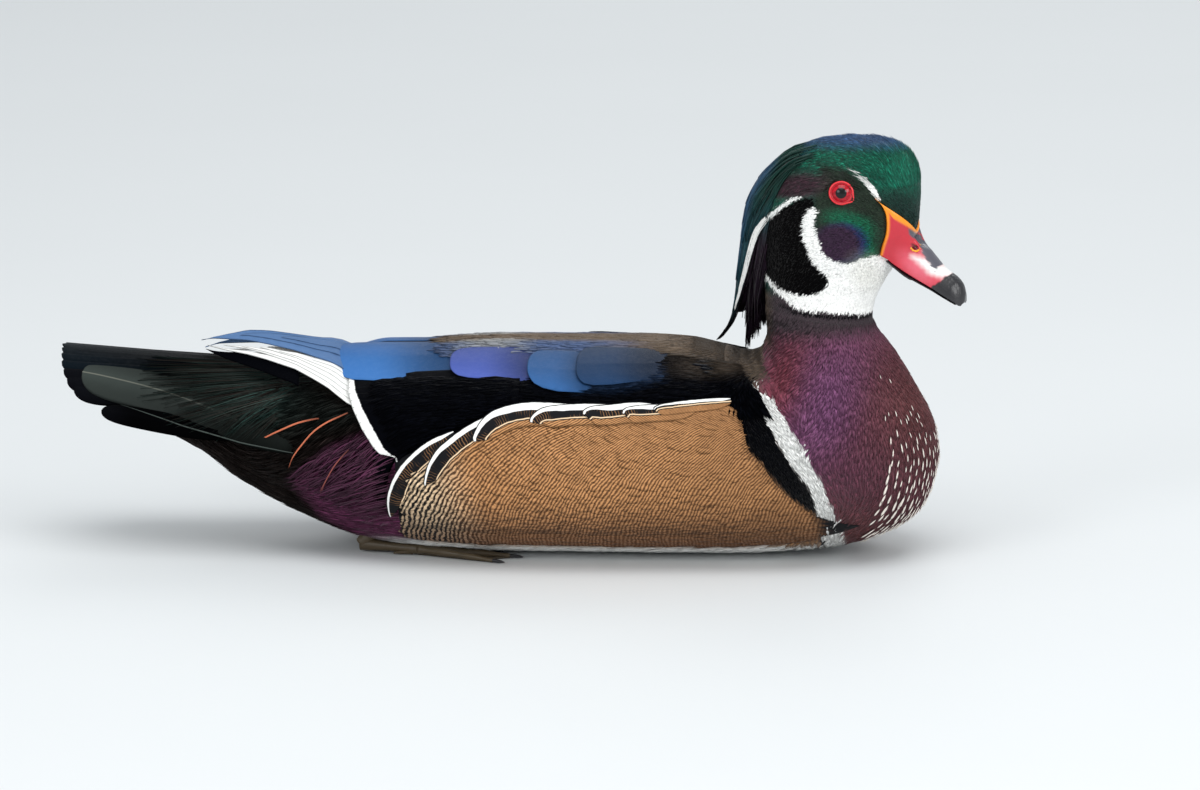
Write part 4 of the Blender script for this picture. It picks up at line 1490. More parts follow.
def make_plumes():
    """Long fine plumes over the sides of the rump: thin orange ones, and hair-like purple ones below."""
    c = paints()
    rng = np.random.default_rng(sizes().seed + 3)
    made = Gathered()
    t = np.linspace(0, 1, 20)

    def plume(line, half, tint, lift):
        place, angle = over_side(through(line, 20), lift)
        f = skin_frame(place, angle)
        spine = f.point + f.normal * (lift * (0.35 + 0.65 * np.sin(math.pi * np.clip(t * 0.9 + 0.1, 0, 1))))[:, None]
        widths = half * np.sin(np.clip(t * 0.88 + 0.12, 0, 1) * math.pi) ** 0.6 + 0.04
        strand = feather(spine, f.normal, widths, 3, 0.4, 0)
        part = strand.along / strand.length
        shade = (0.35 + 0.65 * eased(part, 0, 0.3)) * (1 - 0.45 * eased(part, 0.75, 1))
        made.add(strand.points, strand.faces, tint=tint * shade[:, None], gloss=0.15)

    orange = [
        ([(-90, 69.5), (-93.4, 68.5), (-101, 66), (-110.6, 61.5), (-118.4, 57.6), (-125.5, 55.8)], 1.0),
        ([(-76, 73), (-78.7, 71.4), (-85.9, 67.6), (-92.6, 62.6), (-99.5, 54.3), (-103, 49), (-105, 44)], 1.0),
        ([(-75, 56.2), (-80.9, 48.9), (-85.9, 40.4), (-89.9, 32.4)], 0.4),
    ]
    for line, strong in orange:
        for strand in range(2):
            shifted = np.array(line) + [[0, 0.35 * strand]]
            shifted[-1] += rng.normal(0, 0.5, 2)
            plume(shifted, 0.24 if strong == 1 else 0.18, c.plume_orange * strong + c.maroon * (1 - strong),
                  2.6 + 0.15 * strand)
    for _ in range(420):
        x, z = -50 - 44 * rng.random(), 18 + 48 * rng.random()
        if inside(np.array([[x, z]]), MAROON, 2)[0] < 0.4:
            continue
        steep = 0.25 + 0.5 * eased(z, 25, 66)
        length = 13 + 9 * rng.random()
        line = [(x, z), (x - length * 0.5, z - length * 0.5 * steep * 0.8), (x - length, z - length * steep * 1.2)]
        if line[2][1] < 14 - 0.45 * (line[2][0] + 60):
            continue
        light = rng.random() ** 2
        plume(np.array(line), 0.16 + 0.12 * rng.random(), c.maroon * (0.35 + 1.1 * light), 1.1 + 0.7 * rng.random())
    soft = coat_material("plume_strands", 0.5, 0.4, 0.0, 0.15)
    made.made_pair("plumes", soft, slot="plumage_black")


def over_side(xz, lift):
    """Like at_side, for points that stand off the skin by the given lift."""
    xz = np.asarray(xz, float)
    spots = xz
    for _ in range(2):
        spots = xz - skin_frame(*at_side(spots)).flat_normal[:, [0, 2]] * np.reshape(lift, (-1, 1))
    return at_side(spots)


FLANK_TOP_ANGLES = over_side(FLANK_TOP, 2.0)[1]
WING_EDGES = [np.degrees(at_side(WING_REAR)[1])] + [axis_x(at_side(line)[0]) for line in (WING_REAR, WING_WHITE)]


def laid(x, degrees, lift, thick=0.5):
    """A closed plate over the right side of the body, from grids of x and angle, with its outer face lifted."""
    n, k = x.shape
    place, angle, lift = place_at(x.ravel()), np.radians(degrees.ravel()), np.broadcast_to(lift, x.shape)
    u, t = np.linspace(0, 1, k), np.linspace(0, 1, n)
    rim = np.minimum(1, 8 * np.minimum(u, 1 - u))[None] * np.minimum(1, 16 * np.minimum(t, 1 - t))[:, None]
    top = lifted(place, angle, (lift - 0.45 * thick * (1 - rim)).ravel()).reshape(n, k, 3)
    low = lifted(place, angle, (lift - thick + 0.45 * thick * (1 - rim)).ravel()).reshape(n, k, 3)
    points, faces = shell(low, top)
    over = np.concatenate([np.zeros((n, 1)), np.cumsum(np.linalg.norm(np.diff(top, axis=1), axis=2), 1)], 1)
    down = np.concatenate([np.zeros((1, k)), np.cumsum(np.linalg.norm(np.diff(top, axis=0), axis=2), 0)], 0)
    edge = np.minimum(np.minimum(over, over[:, -1:] - over), down[-1:] - down)
    return SimpleNamespace(points=points, faces=faces, across=twice(over - over[:, -1:] / 2), along=twice(down),
                           edge=twice(edge),
                           u=twice(np.broadcast_to(u, (n, k))), t=twice(np.broadcast_to(t[:, None], (n, k))))


def flank_lift(x, angle):
    """How far the flank's surface stands off the skin."""
    t = np.clip((x + 60) / (axis_x(9.93)[0] + 60), 0, 1)
    top = flank_top(x)
    u = np.clip((half_turn(angle) - top) / (math.radians(124) - top), 0, 1)
    return GAP + 0.6 + 3.9 * (1 - t ** 3) * np.sqrt(1 - u ** 2.5) * np.minimum(1, 0.5 + 4 * t)


def make_flanks():
    """The flanks: a coat of fine-lined buff feathers, and broad ones banded white and black along the upper edge."""
    pitch = sizes().wave_pitch / MM
    lined, banded_look = flank_material(pitch, False), flank_material(pitch)
    ahead = at_side(FLANK_FRONT)
    order = np.argsort(ahead[1])
    # a closed form under the feathers
    rows, cols = 72, 30
    u = np.linspace(0, 1, cols)
    front = axis_x(np.interp(math.radians(54) + math.radians(82) * u, ahead[1][order], ahead[0][order])) - 1
    grids = []
    for inner in (True, False):
        grid = []
        for t in np.linspace(0, 1, rows):
            x = -52 + (front + 52) * t
            top = flank_top(x) + 0.05
            angle = top + (math.radians(136) - top) * u
            edge = np.minimum(u * 8, 1) * min(1, t * 10) * min(1, (1 - t) * 14 + 0.1)
            lift = np.full(cols, -1.5) if inner else (flank_lift(x, angle) - 0.9) * (0.1 + 0.9 * edge)
            grid.append(lifted(place_at(x), angle, lift))
        grids.append(np.array(grid))
    points, faces = shell(*grids)
    points[:, 2] = np.maximum(points[:, 2], 0.3)
    bands = Gathered()
    bands.add(points, faces, along=0, rim=0, white_to=0, black_to=0,
              banded=1 - inside(points[:, [0, 2]], FLANK_LINED, 1.5))
    t = np.linspace(0, 1, 34)
    for line, white, black in CRESCENTS:
        place, angle = over_side(through(line, 34), 3.2)
        f = skin_frame(place, angle)
        spine = f.point + f.normal * (np.maximum(flank_lift(axis_x(place), angle), 2.2) - 0.6 + 1.0 * t)[:, None]
        taper = swelling(t, 0.2) * 0.6 + 0.4
        tip = np.clip(1 - np.clip((t - 0.5) / 0.5, 0, 1) ** 2.4, 0, 1) ** 0.55
        upper = (white / 2 + 0.6) * taper * (0.25 + 0.75 * tip) + 0.1
        lower = (white / 2 + black + 4.0) * taper * (0.2 + 0.8 * tip) * np.clip(1 - t ** 12, 0, 1) + 0.1
        vane = feather(spine, f.normal, np.stack([lower, upper], 1), 15, 0.45, 0.1)
        vane.points[:, 2] = np.maximum(vane.points[:, 2], 0.15)
        part = vane.along / vane.length
        white_to = 0.5 + white * np.interp(part, [0, 0.12, 0.6, 1], [0.2, 1, 0.9, 0.25])
        black_to = 0.6 + (white + black) * np.interp(part, [0, 0.2, 0.75, 1], [0.6, 1, 1, 0.6])
        bands.add(vane.points, vane.faces, along=vane.along, rim=vane.rim, white_to=white_to, black_to=black_to,
                  banded=1)
    bands.made_pair("flank_bands", banded_look, "flank", slot="plumage_buff")
    for side, angles, seed in (("right", (53, 138), 41), ("left", (222, 307), 42)):
        coat("flank_coat_" + side, (5.2, 10.15), angles, 6500, (8.5, 3.0, 0.3), lined, leaf="broad",
             weight=on_flank, rise=2.0, jitter=4, seed=seed, lie=flank_lie, slot="plumage_buff", shade=0.0,
             lift=lambda f: flank_lift(axis_x(f.place), f.angle) - 0.95)


def wing_lift(x, angle):
    """How far the folded wing's surface stands off the skin, which is more on the back."""
    a = half_turn(angle)
    top = flank_top(x) + 0.05
    u = np.clip(a / top, 0, 1)
    t = np.clip((x + 62) / 178, 0, 1)
    cape = np.interp(x, [-80, -60, -40, 0, 40, 78, 94, 108, 118], [7.6, 6.4, 5.2, 5.9, 4.9, 3.6, 2.7, 1.0, 0])
    over_back = 1 - eased(a, math.radians(7), math.radians(33))
    return GAP + 1.6 * np.sqrt(np.clip(1 - u ** 6, 0, 1)) * (1 - t ** 4) + cape * over_back


def on_wing(f):
    """Where the velvet of the wing grows: between its blue panels and the flank."""
    x, a = axis_x(f.place), np.degrees(half_turn(f.angle))
    start = np.interp(x, [-80, -34, -12, 14, 34, 46, 58, 80, 104], [32, 33, 35, 35, 34, 32, 29, 21, 20])
    white = np.interp(a, WING_EDGES[0], WING_EDGES[2])
    end = np.degrees(flank_top(x))
    return eased(a, start, start + 2) * (1 - eased(a, end + 1, end + 3)) * eased(x, white + 13, white + 17)


def make_wings():
    """A folded wing on each side: primaries, white-tipped secondaries, blue tertials and the velvet side."""
    c = paints()
    made = Gathered()
    plain = dict(tint=c.velvet, tint_b=c.velvet, zone=-1.0, gloss=0.05, shaft=0)
    # a closed form under the feathers, from the back's middle to the flank
    x = np.linspace(-62, 118, 56)[:, None] + np.zeros((1, 30))
    degrees = np.linspace(0, 1, 30)[None] * (np.degrees(flank_top(x)) + 3)
    low = lifted(place_at(x.ravel()), np.radians(degrees.ravel()), -1.5).reshape(56, 30, 3)
    top = lifted(place_at(x.ravel()), np.radians(degrees.ravel()),
                 (wing_lift(x, np.radians(degrees)) - 0.5).ravel()).reshape(56, 30, 3)
    points, faces = shell(low, top)
    dark = eased(points[:, 2], 88, 97)[:, None]
    made.add(points, faces, across=3, along=0, edge=9, **dict(plain, tint=c.velvet * (1 - dark) + c.nape * dark * 0.6))
    # secondaries: strips that end along the wing's rear edge, each a little over the one below; their white tips join
    count = 11
    for i in range(count - 1, -1, -1):
        start, wide = 29 + 49 * i / count, 8.5
        degrees = start + wide * np.linspace(0, 1, 10)[None] + np.zeros((26, 1))
        rear = np.interp(degrees, WING_EDGES[0], WING_EDGES[1])
        t = towards_tip(26, 1.5)[:, None]
        x = -12 + 18 * (1 - t) + (rear + 12) * t + 0.5 * np.abs(np.linspace(-1, 1, 10)) ** 6 * t
        raised = 0.8 * (1 - eased(degrees, 20, 34)) * t
        lift = wing_lift(x, np.radians(degrees)) + 0.35 - 0.25 * np.linspace(0, 1, 10)[None] + raised
        vane = laid(x, degrees, lift, 0.4)
        white = np.interp(degrees, WING_EDGES[0], WING_EDGES[2]) - x
        white = white * np.interp(degrees, [24, 80], [0.95, 0.75])
        made.add_feather(vane, **dict(plain, tint_b=c.white, zone=twice(white)))
    # primaries: blue above, below them the white outer webs of those beneath, fanned in thin strips
    along = np.array([-149, -143, -136.1, -126.3, -116.6, -102.1, -92.3, -82.6, -72.8, -50])
    upper = np.array([(-9, 97.6), (-11, 100.6), (-12, 102.2), (-13, 103.6), (-15, 103.3), (-16, 101.3), (-12.5, 98.9),
                      (-7.5, 97.3), (-3, 94.5), (0, 90)])
    under = np.array([(-9, 97.2), (-13, 95.5), (-15.5, 94), (-19, 93), (-24, 91.8), (-31, 89.2), (-36.5, 85.6),
                      (-42, 81.5), (-46.5, 77.5), (-50, 68)])
    blue = np.interp(along, [-149, -138, -125, -112, -95, -77, -50], [0.55, 0.53, 0.56, 0.62, 0.56, 0.47, 0.45])

    def on_tip(x, w, out):
        y0, z0, y1, z1 = (np.interp(x, along, column) for column in (*upper.T, *under.T))
        out = out - 3.0 * eased(x, -86, -76)
        bulge = 1.2 * np.sin(math.pi * np.clip(w, 0, 1))
        return np.stack([x, y0 + (y1 - y0) * w - 0.6 * out, z0 + (z1 - z0) * w + 0.8 * out + bulge], -1)

    def strip(tip, w_up, w_low, w_tip, out, front=-52, narrow=1.15, **values):
        t = towards_tip(30, 1.6)[:, None]
        u = np.linspace(0, 1, 9)[None]
        x = front + (tip - front) * t + 1.2 * np.abs(2 * u - 1) ** 2 * t ** 6
        share = np.clip((x + 77) / (tip + 77), 0, 1) ** narrow
        w0, w1 = w_up * (1 - share) + (w_tip - 0.02) * share, w_low * (1 - share) + (w_tip + 0.02) * share
        w = w0 + (w1 - w0) * u
        grids = [on_tip(x, w, out + shift + 0.12 * u) for shift in (-0.35, 0)]
        points, faces = shell(*grids)
        width = np.linalg.norm(grids[1][:, -1] - grids[1][:, 0], axis=1)[:, None]
        made.add(points, faces, across=twice((u - 0.35) * width), along=twice(np.abs(x - x[0])),
                 edge=twice(np.minimum(u, 1 - u) * width), **values)

    tips = (-95, -111, -120, -129, -138, -146)
    for k in range(5, -1, -1):
        w_tip = np.interp(tips[k], along, blue)
        low = 1.0 if k == 5 else 0.47 + 0.09 * (k + 1)
        strip(tips[k], 0.30 + 0.09 * k, low, w_tip + (0.25 if k == 5 else 0.1 * (k > 2)), 0.25 * (5 - k),
              **dict(plain, tint=c.white, tint_b=c.velvet))
    strip(-147, 0.6, 1.35, 1.0, -1.4, front=-100, narrow=3, **plain)
    for tip, w_low, out, tint in ((-149, 0.5, 1.9, c.primary_blue), (-130, 0.28, 2.15, c.primary_blue * 0.94),
                                  (-110, 0.14, 2.4, c.primary_blue * 0.9)):
        strip(tip, -0.12 if tip == -149 else -0.06, w_low, w_low * 0.85 if tip > -140 else 0.3, out, narrow=5,
              **dict(plain, tint=tint, gloss=0.3, shaft=0.04))
    # tertials: blue panels with round ends, each over the root of the one behind
    panels = [
        (-79, -14, 1.0, 8.0, 2.2, c.tertial_blue * 1.25, [(-84, 87), (-62, 88.3), (-43, 89.8), (-14, 91)]),
        (-27, 24, 15, 9.0, 2.4, c.tertial_violet * [0.9, 1.15, 1.05], [(-27, 91), (0, 91), (24, 90)]),
        (9, 52, 18, 8.0, 2.6, c.tertial_blue * 0.8, [(5, 90.5), (14, 88.5), (24, 87), (36, 87), (52, 90)]),
        (32, 80, 16, 9.0, 2.8, c.tertial_blue * 0.3, [(30, 88.5), (50, 90), (80, 94)]),
    ]
    for tip, root, first, round_end, out, tint, low in panels:
        below = over_side(low, 5.0)
        t, u = towards_tip(34, 1.5)[:, None], np.linspace(0, 1, 19)[None]
        x = root + (tip - root) * t + round_end * (1 - np.sqrt(np.clip(1 - np.abs(2 * u - 1) ** 2.6, 0, 1))) * t
        last = np.interp(x, axis_x(below[0]), np.degrees(below[1]))
        degrees = first + (last - first) * u
        arch = 0.45 + 0.55 * np.sin(math.pi * np.clip(u * 0.8 + 0.1, 0, 1))
        lift = wing_lift(x, np.radians(degrees)) - 0.5 + out * t * arch
        vane = laid(x, degrees, lift, 0.45)
        lower, front = vane.u[:, None], 1 - eased(vane.t, 0.15, 0.6)[:, None]
        shade = (0.72 + 0.5 * lower) * (1 - 0.65 * front)
        made.add_feather(vane, tint=tint * shade, tint_b=c.velvet, zone=-1.0, gloss=0.45, shaft=0.02)
    vanes = vane_material("wing_vanes", 0.6, 0.2, 0.15)

    def tuck(points):
        """The left wing's tip lies a little lower and closer, under the right one."""
        back = eased(-points[:, 0], 60, 92)
        return points + np.stack([0 * back, -4.0 * back, -6.5 * back], 1)

    made.made_pair("wing_feathers", vanes, "wing", tuck, slot="plumage_wing")

    def velvet(flat, place, angle):
        p = Painted(len(place), c.velvet, 0.05)
        xz = flat[:, [0, 2]]
        p.lay(stroke(xz, [(30, 86), (50, 87), (70, 90)], [2, 3, 2], 3) * 0.12, c.tertial_blue, 0.4)
        p.lay(eased(xz[:, 1], 87, 94) * eased(xz[:, 0], 62, 96) * 0.8, c.nape * 0.6, 0.1)
        return p

    def velvet_lift(f):
        x = axis_x(f.place)
        return wing_lift(x, f.angle) - 0.35 + 0.65 * (1 - eased(x, 0, 12))

    soft = coat_material("velvet_feathers", 0.7, 0.5, 0.0, 0.3, 0.12)
    for side, angles, seed in (("right", (14, 86), 51), ("left", (274, 346), 52)):
        coat("wing_coat_" + side, (4.6, 9.95), angles, 7000, (9.5, 1.8, 0.3), soft, weight=on_wing,
             rise=2.0, jitter=3, seed=seed, lift=velvet_lift, paint=velvet, slot="plumage_wing", shade=0.25)


def bill_section(row, theta, sharp):
    """A point of the upper bill: theta is 0 at the ridge and 90 degrees at the edge of the mouth."""
    x, top, mouth, half = row[..., 0], row[..., 1], row[..., 2], row[..., 3]
    c, s = np.abs(np.cos(theta)), np.sin(theta)
    reach = (c ** sharp + np.abs(s) ** sharp) ** (-1 / sharp)
    return np.stack([x, -half * s * reach, mouth + (top - mouth) * c * reach], -1)


def make_bill():
    """The bill: its base spreads over the face in two lobes; a nail at the tip; the lower half below the mouth."""
    c = paints()
    half_count = 60
    keys = np.array(BILL_BASE)
    place, angle = splined(keys, np.linspace(0, len(keys) - 1, 400)).T
    place[-1], angle[-1] = keys[-1]
    line = flat_skin(place, np.radians(angle))
    run = reach_along(line)
    f = np.linspace(0, 1, half_count)
    base = np.stack([np.interp(f * run[-1], run, place), np.radians(np.interp(f * run[-1], run, angle))], 1)
    inner_keys = np.array([(19.05, 150), (19.5, 147), (20.15, 146), (20.35, 152), (19.85, 168), (19.6, 180)])
    place1, angle1 = splined(inner_keys, f * (len(inner_keys) - 1)).T
    inner = np.stack([place1, np.radians(angle1)], 1)
    # from the edge of the mouth on the right, over the ridge, to the left
    both = lambda a: np.concatenate([a, np.stack([a[:-1, 0], 2 * math.pi - a[:-1, 1]], 1)[::-1]])
    base, inner = both(base), both(inner)
    theta = np.concatenate([math.pi / 2 * (1 - f), -math.pi / 2 * (1 - f[:-1][::-1])])
    height = np.cos(theta)

    def on_skin(spots, lift):
        g = skin_frame(spots[:, 0], spots[:, 1])
        return g.flat + g.flat_normal * np.reshape(lift, (-1, 1))

    rings = [on_skin(base, -1.0), on_skin(base, 0.35), on_skin(base * 0.96 + inner * 0.04, 1.0)]
    for s in np.linspace(0.12, 1, 12):
        rings.append(on_skin(base * (1 - s) + inner * s, 1.0 + 0.35 * math.sin(s * math.pi / 2)))

    def section(k):
        at = k + 1.75 * height * (1 - (k - 1.15) / 5.85)
        sharp = 1.75 + 0.5 * np.clip((at - 1) / 4, 0, 1)
        return bill_section(splined(BILL, at), theta, sharp)

    first, after = section(1.15), section(1.35)
    start = rings[-1]
    reach = np.linalg.norm(first - start, axis=1, keepdims=True)
    out = unit(rings[-1] - rings[-2]) * reach
    into = unit(after - first) * reach
    for s in np.linspace(0, 1, 14)[1:-1]:
        rings.append((2 * s ** 3 - 3 * s ** 2 + 1) * start + (s ** 3 - 2 * s ** 2 + s) * out * 0.9
                     + (3 * s ** 2 - 2 * s ** 3) * first + (s ** 3 - s ** 2) * into * 0.9)
    for k in 1.15 + 5.85 * np.linspace(0, 1, 68) ** 0.92:
        rings.append(section(k))
    rings = np.array(rings)
    # nostrils: a dent on each side, and a low ridge round it
    x = rings[..., 0]
    side = np.sign(-rings[..., 1])
    oval = nostril_oval(rings.reshape(-1, 3)).reshape(x.shape)
    dent = 1.6 * (1 - eased(oval, 0.3, 1.0)) - 0.3 * np.exp(-((oval - 1.35) / 0.3) ** 2)
    rings[..., 1] += side * dent * (np.abs(rings[..., 1]) > 1.2)
    rings[..., 2] += 0.9 * np.exp(-(rings[..., 1] / 2.6) ** 2) * eased(x, 190, 194) * (1 - eased(x, 199, 205))
    # the nail stands a little proud of the tip, over a rough patch
    nail = eased(x, 207, 211) * (1 - eased(np.abs(rings[..., 1]), 3.6, 4.8))
    rings[..., 2] += 0.4 * nail + 0.12 * np.sin(x * 4.2) * np.sin(rings[..., 1] * 2.6) * eased(x, 204, 208)
    # the roof of the mouth closes each ring
    lower = np.linspace(0, 1, 8)[1:-1]
    roof = rings[:, -1:, :] * (1 - lower[None, :, None]) + rings[:, :1, :] * lower[None, :, None]
    roof[..., 2] += 0.4
    points, faces = lofted(np.concatenate([rings, roof], 1))
    xz = points[:, [0, 2]]
    waves = [np.sin(xz[:, 1] * 3.1) + np.sin(xz[:, 0] * 2.3 + 1), np.cos(xz[:, 0] * 2.7) + np.sin(xz[:, 1] * 1.7)]
    rough = xz + np.stack(waves, 1) * 0.16
    p = Painted(len(points), c.bill_red)
    p.lay(spot(rough, (199, 140), (13, 6), -38, 0.9) * 0.85, c.bill_pink)
    p.lay(stroke(rough, [(195.5, 145.6), (200.2, 143.4), (205, 140), (210, 138.4), (217, 140)],
                 [0.4, 1.5, 2.3, 2.4, 2.8], 2.2), c.white)
    p.lay(inside(rough, [(193.4, 158.2), (194.7, 155.1), (197.6, 152.6), (199.6, 148.8), (200.9, 145.2), (203.2, 142.6),
                         (206.8, 141), (211.9, 141.2), (214, 146), (206, 158), (201, 162.5), (199.8, 159.3),
                         (197.8, 157.7), (195.2, 158.8)], 0.35), c.bill_grey)
    ridge = np.interp(xz[:, 0], [191, 193.5, 197, 201, 206, 209],
                      [4.8, 5.6, 4.8, 5.6, 6.4, 4.5]) + 0.5 * np.sin(xz[:, 1] * 2.1)
    p.lay(eased(ridge - np.abs(points[:, 1]), -0.4, 0.4) * eased(xz[:, 0], 184, 186)
          * (1 - eased(rough[:, 0], 206.5, 207.5)), c.bill_grey)
    p.lay(inside(rough, [(218, 142), (213.4, 137.6), (211.5, 136.4), (208.4, 133.9), (204.4, 131), (203.6, 128),
                         (222, 115), (228, 134)], 0.35), c.nail)
    corner = np.argmin(base[:half_count, 1]) / (half_count - 1)
    near = np.array([np.linalg.norm(rings[1] - point, axis=1) for point in points])
    spread = np.append(near.min(1)[:-2], [99, 99])
    f_side = 1 - np.abs(near.argmin(1) - (half_count - 1)) / (half_count - 1)
    width = np.interp(f_side, [0, corner * 0.6, corner - 0.05, corner, corner + 0.08, corner + 0.3, 0.9, 1],
                      [0.8, 1.3, 2.6, 3.6, 3.4, 2.5, 1.7, 1.2])
    p.lay(1 - eased(spread - width, -0.5, 0.8), c.bill_orange)
    p.lay(1 - eased(nostril_oval(points), 0.85, 1.1), c.iris * 0.22)
    horn = horn_material("bill_horn")
    finished("bill_upper_half", turned(points), faces, horn, {"tint": p.tint}, replaces=("bill_upper",), slot="bill")
    # a fine yellow rim round each nostril
    for side, name in ((1, "right"), (-1, "left")):
        own = points[points[:, 1] * side < -0.6]
        a, b = 2.15 * np.cos(circle(40)), 1.55 * np.sin(circle(40))
        x = NOSTRIL[0] + a * math.cos(NOSTRIL_TILT) - b * math.sin(NOSTRIL_TILT)
        z = NOSTRIL[1] - NOSTRIL_LEFT_DROP * (side < 0) + a * math.sin(NOSTRIL_TILT) + b * math.cos(NOSTRIL_TILT)
        gap = np.hypot(own[None, :, 0] - x[:, None], own[None, :, 2] - z[:, None])
        share = 1 / (0.25 + gap) ** 4
        y = (share * own[None, :, 1]).sum(1) / share.sum(1)
        spine = np.stack([x, y, z], 1)
        way = unit(np.roll(spine, -1, 0) - np.roll(spine, 1, 0))
        over = unit(np.cross(way, [0, 1.0, 0]))
        cos, sin = (f(circle(10))[None, :, None] for f in (np.cos, np.sin))
        rim = (spine[:, None] + 0.48 * (cos * over[:, None] + sin * np.cross(way, over)[:, None])).reshape(-1, 3)
        yellow = np.tile(c.bill_orange * [0.9, 1.25, 2], (len(rim), 1))
        finished("nostril_rim_" + name, turned(rim), outward(rim, hoop_faces(40, 10)), horn, {"tint": yellow},
                 slot="bill")
    # lower half
    rings = []
    around = circle(40)
    for k in np.linspace(0.1, 5.2, 34):
        row = splined(BILL, k)[0]
        mouth, depth = row[2] - GAP + 1.3 * (1 - eased(k, 0.6, 1.8)), row[4] * (1.25 if k < 2 else 1.0)
        z = mouth - depth / 2 + depth / 2 * np.cos(around)
        rings.append(np.stack([np.full(40, row[0]), -(row[3] - 0.9) * np.sin(around), z], 1))
    points, faces = lofted(rings)
    finished("bill_lower_half", turned(points), faces, horn, {"tint": np.tile(c.nail * 0.8, (len(points), 1))},
             replaces=("bill_lower",), slot="bill_black")


def eye_directions(side):
    """The eye's axis, and the level and upward directions across it."""
    axis = eye_axis(side)
    level = unit(np.cross([0, 0, 1.0], axis)) * side
    up = unit(np.cross(axis, level)) * side
    up = up if up[2] > 0 else -up
    level = level if level[0] > 0 else -level
    return axis, level, up


def make_eyes():
    """Two red eyes with black pupils, each in a bare red ring that runs to a point at its lower front."""
    c = paints()
    glass = eye_material()
    bare = horn_material("lid_skin", 0.36, 0.25, 900.0, 0.00016)
    for side, name in ((1, "right"), (-1, "left")):
        axis, level, up = eye_directions(side)
        centre = EYE * [1, side, 1]
        rings, around = [], circle(48)
        outwards = np.cos(around)[:, None] * level + np.sin(around)[:, None] * up
        for phi in np.linspace(0.02, math.pi - 0.02, 34):
            r = EYE_R * (1 + 0.045 * math.exp(-(phi / 0.42) ** 2)) if phi < 2 else EYE_R
            rings.append(centre + r * (math.cos(phi) * axis + math.sin(phi) * outwards))
        points, faces = lofted(rings)
        d = points - centre
        ahead = d @ axis
        off = np.linalg.norm(d - ahead[:, None] * axis, axis=1)
        off = np.where(ahead > 0, off, 9)
        finished("eye_ball_" + name, turned(points), faces, glass, {"off_axis": off}, replaces=("eye_" + name,),
                 slot="eye")
        # the lid: a wrinkled ring that lies against the eyeball and on the skin
        count = 96
        phi, around = circle(count), circle(14)
        tear = np.exp(-(((phi - EYE_CORNER + math.pi) % (2 * math.pi) - math.pi) / 0.3) ** 2)
        radius = 5.45 + 1.35 * tear
        rings, inner_ring, inner_low = [], [], []
        for k in range(count):
            out = math.cos(phi[k]) * level + math.sin(phi[k]) * up
            mid = centre + out * radius[k] + axis * (5.0 - 0.3 * tear[k])
            wrinkle = 0.85 + 0.12 * math.sin(phi[k] * 34)
            rings.append(mid + (np.cos(around)[:, None] * out * 0.62 + np.sin(around)[:, None] * axis * 0.6) * wrinkle)
            inner_ring.append([centre + out * r + axis * h for r, h in ((radius[k], 4.9 - 0.3 * tear[k]), (4.3, 4.95))])
            inner_low.append([centre + out * r + axis * h for r, h in ((radius[k], 4.4 - 0.3 * tear[k]), (4.3, 4.4))])
        points = np.array(rings).reshape(-1, 3)
        inner = eased(-np.tile(np.cos(around), count), 0.3, 0.95)
        tint = np.tile(c.lid, (len(points), 1)) * (1 - 0.55 * inner)[:, None]
        ring = Gathered()
        ring.add(points, outward(points, hoop_faces(count, 14)), tint=tint)
        closed = lambda rows: np.array(rows + rows[:1])
        ring.add(*shell(closed(inner_low), closed(inner_ring)), tint=c.iris * 0.9)
        ring.points = [turned(p) for p in ring.points]
        ring.made("lid_ring_" + name, bare, slot="eye")


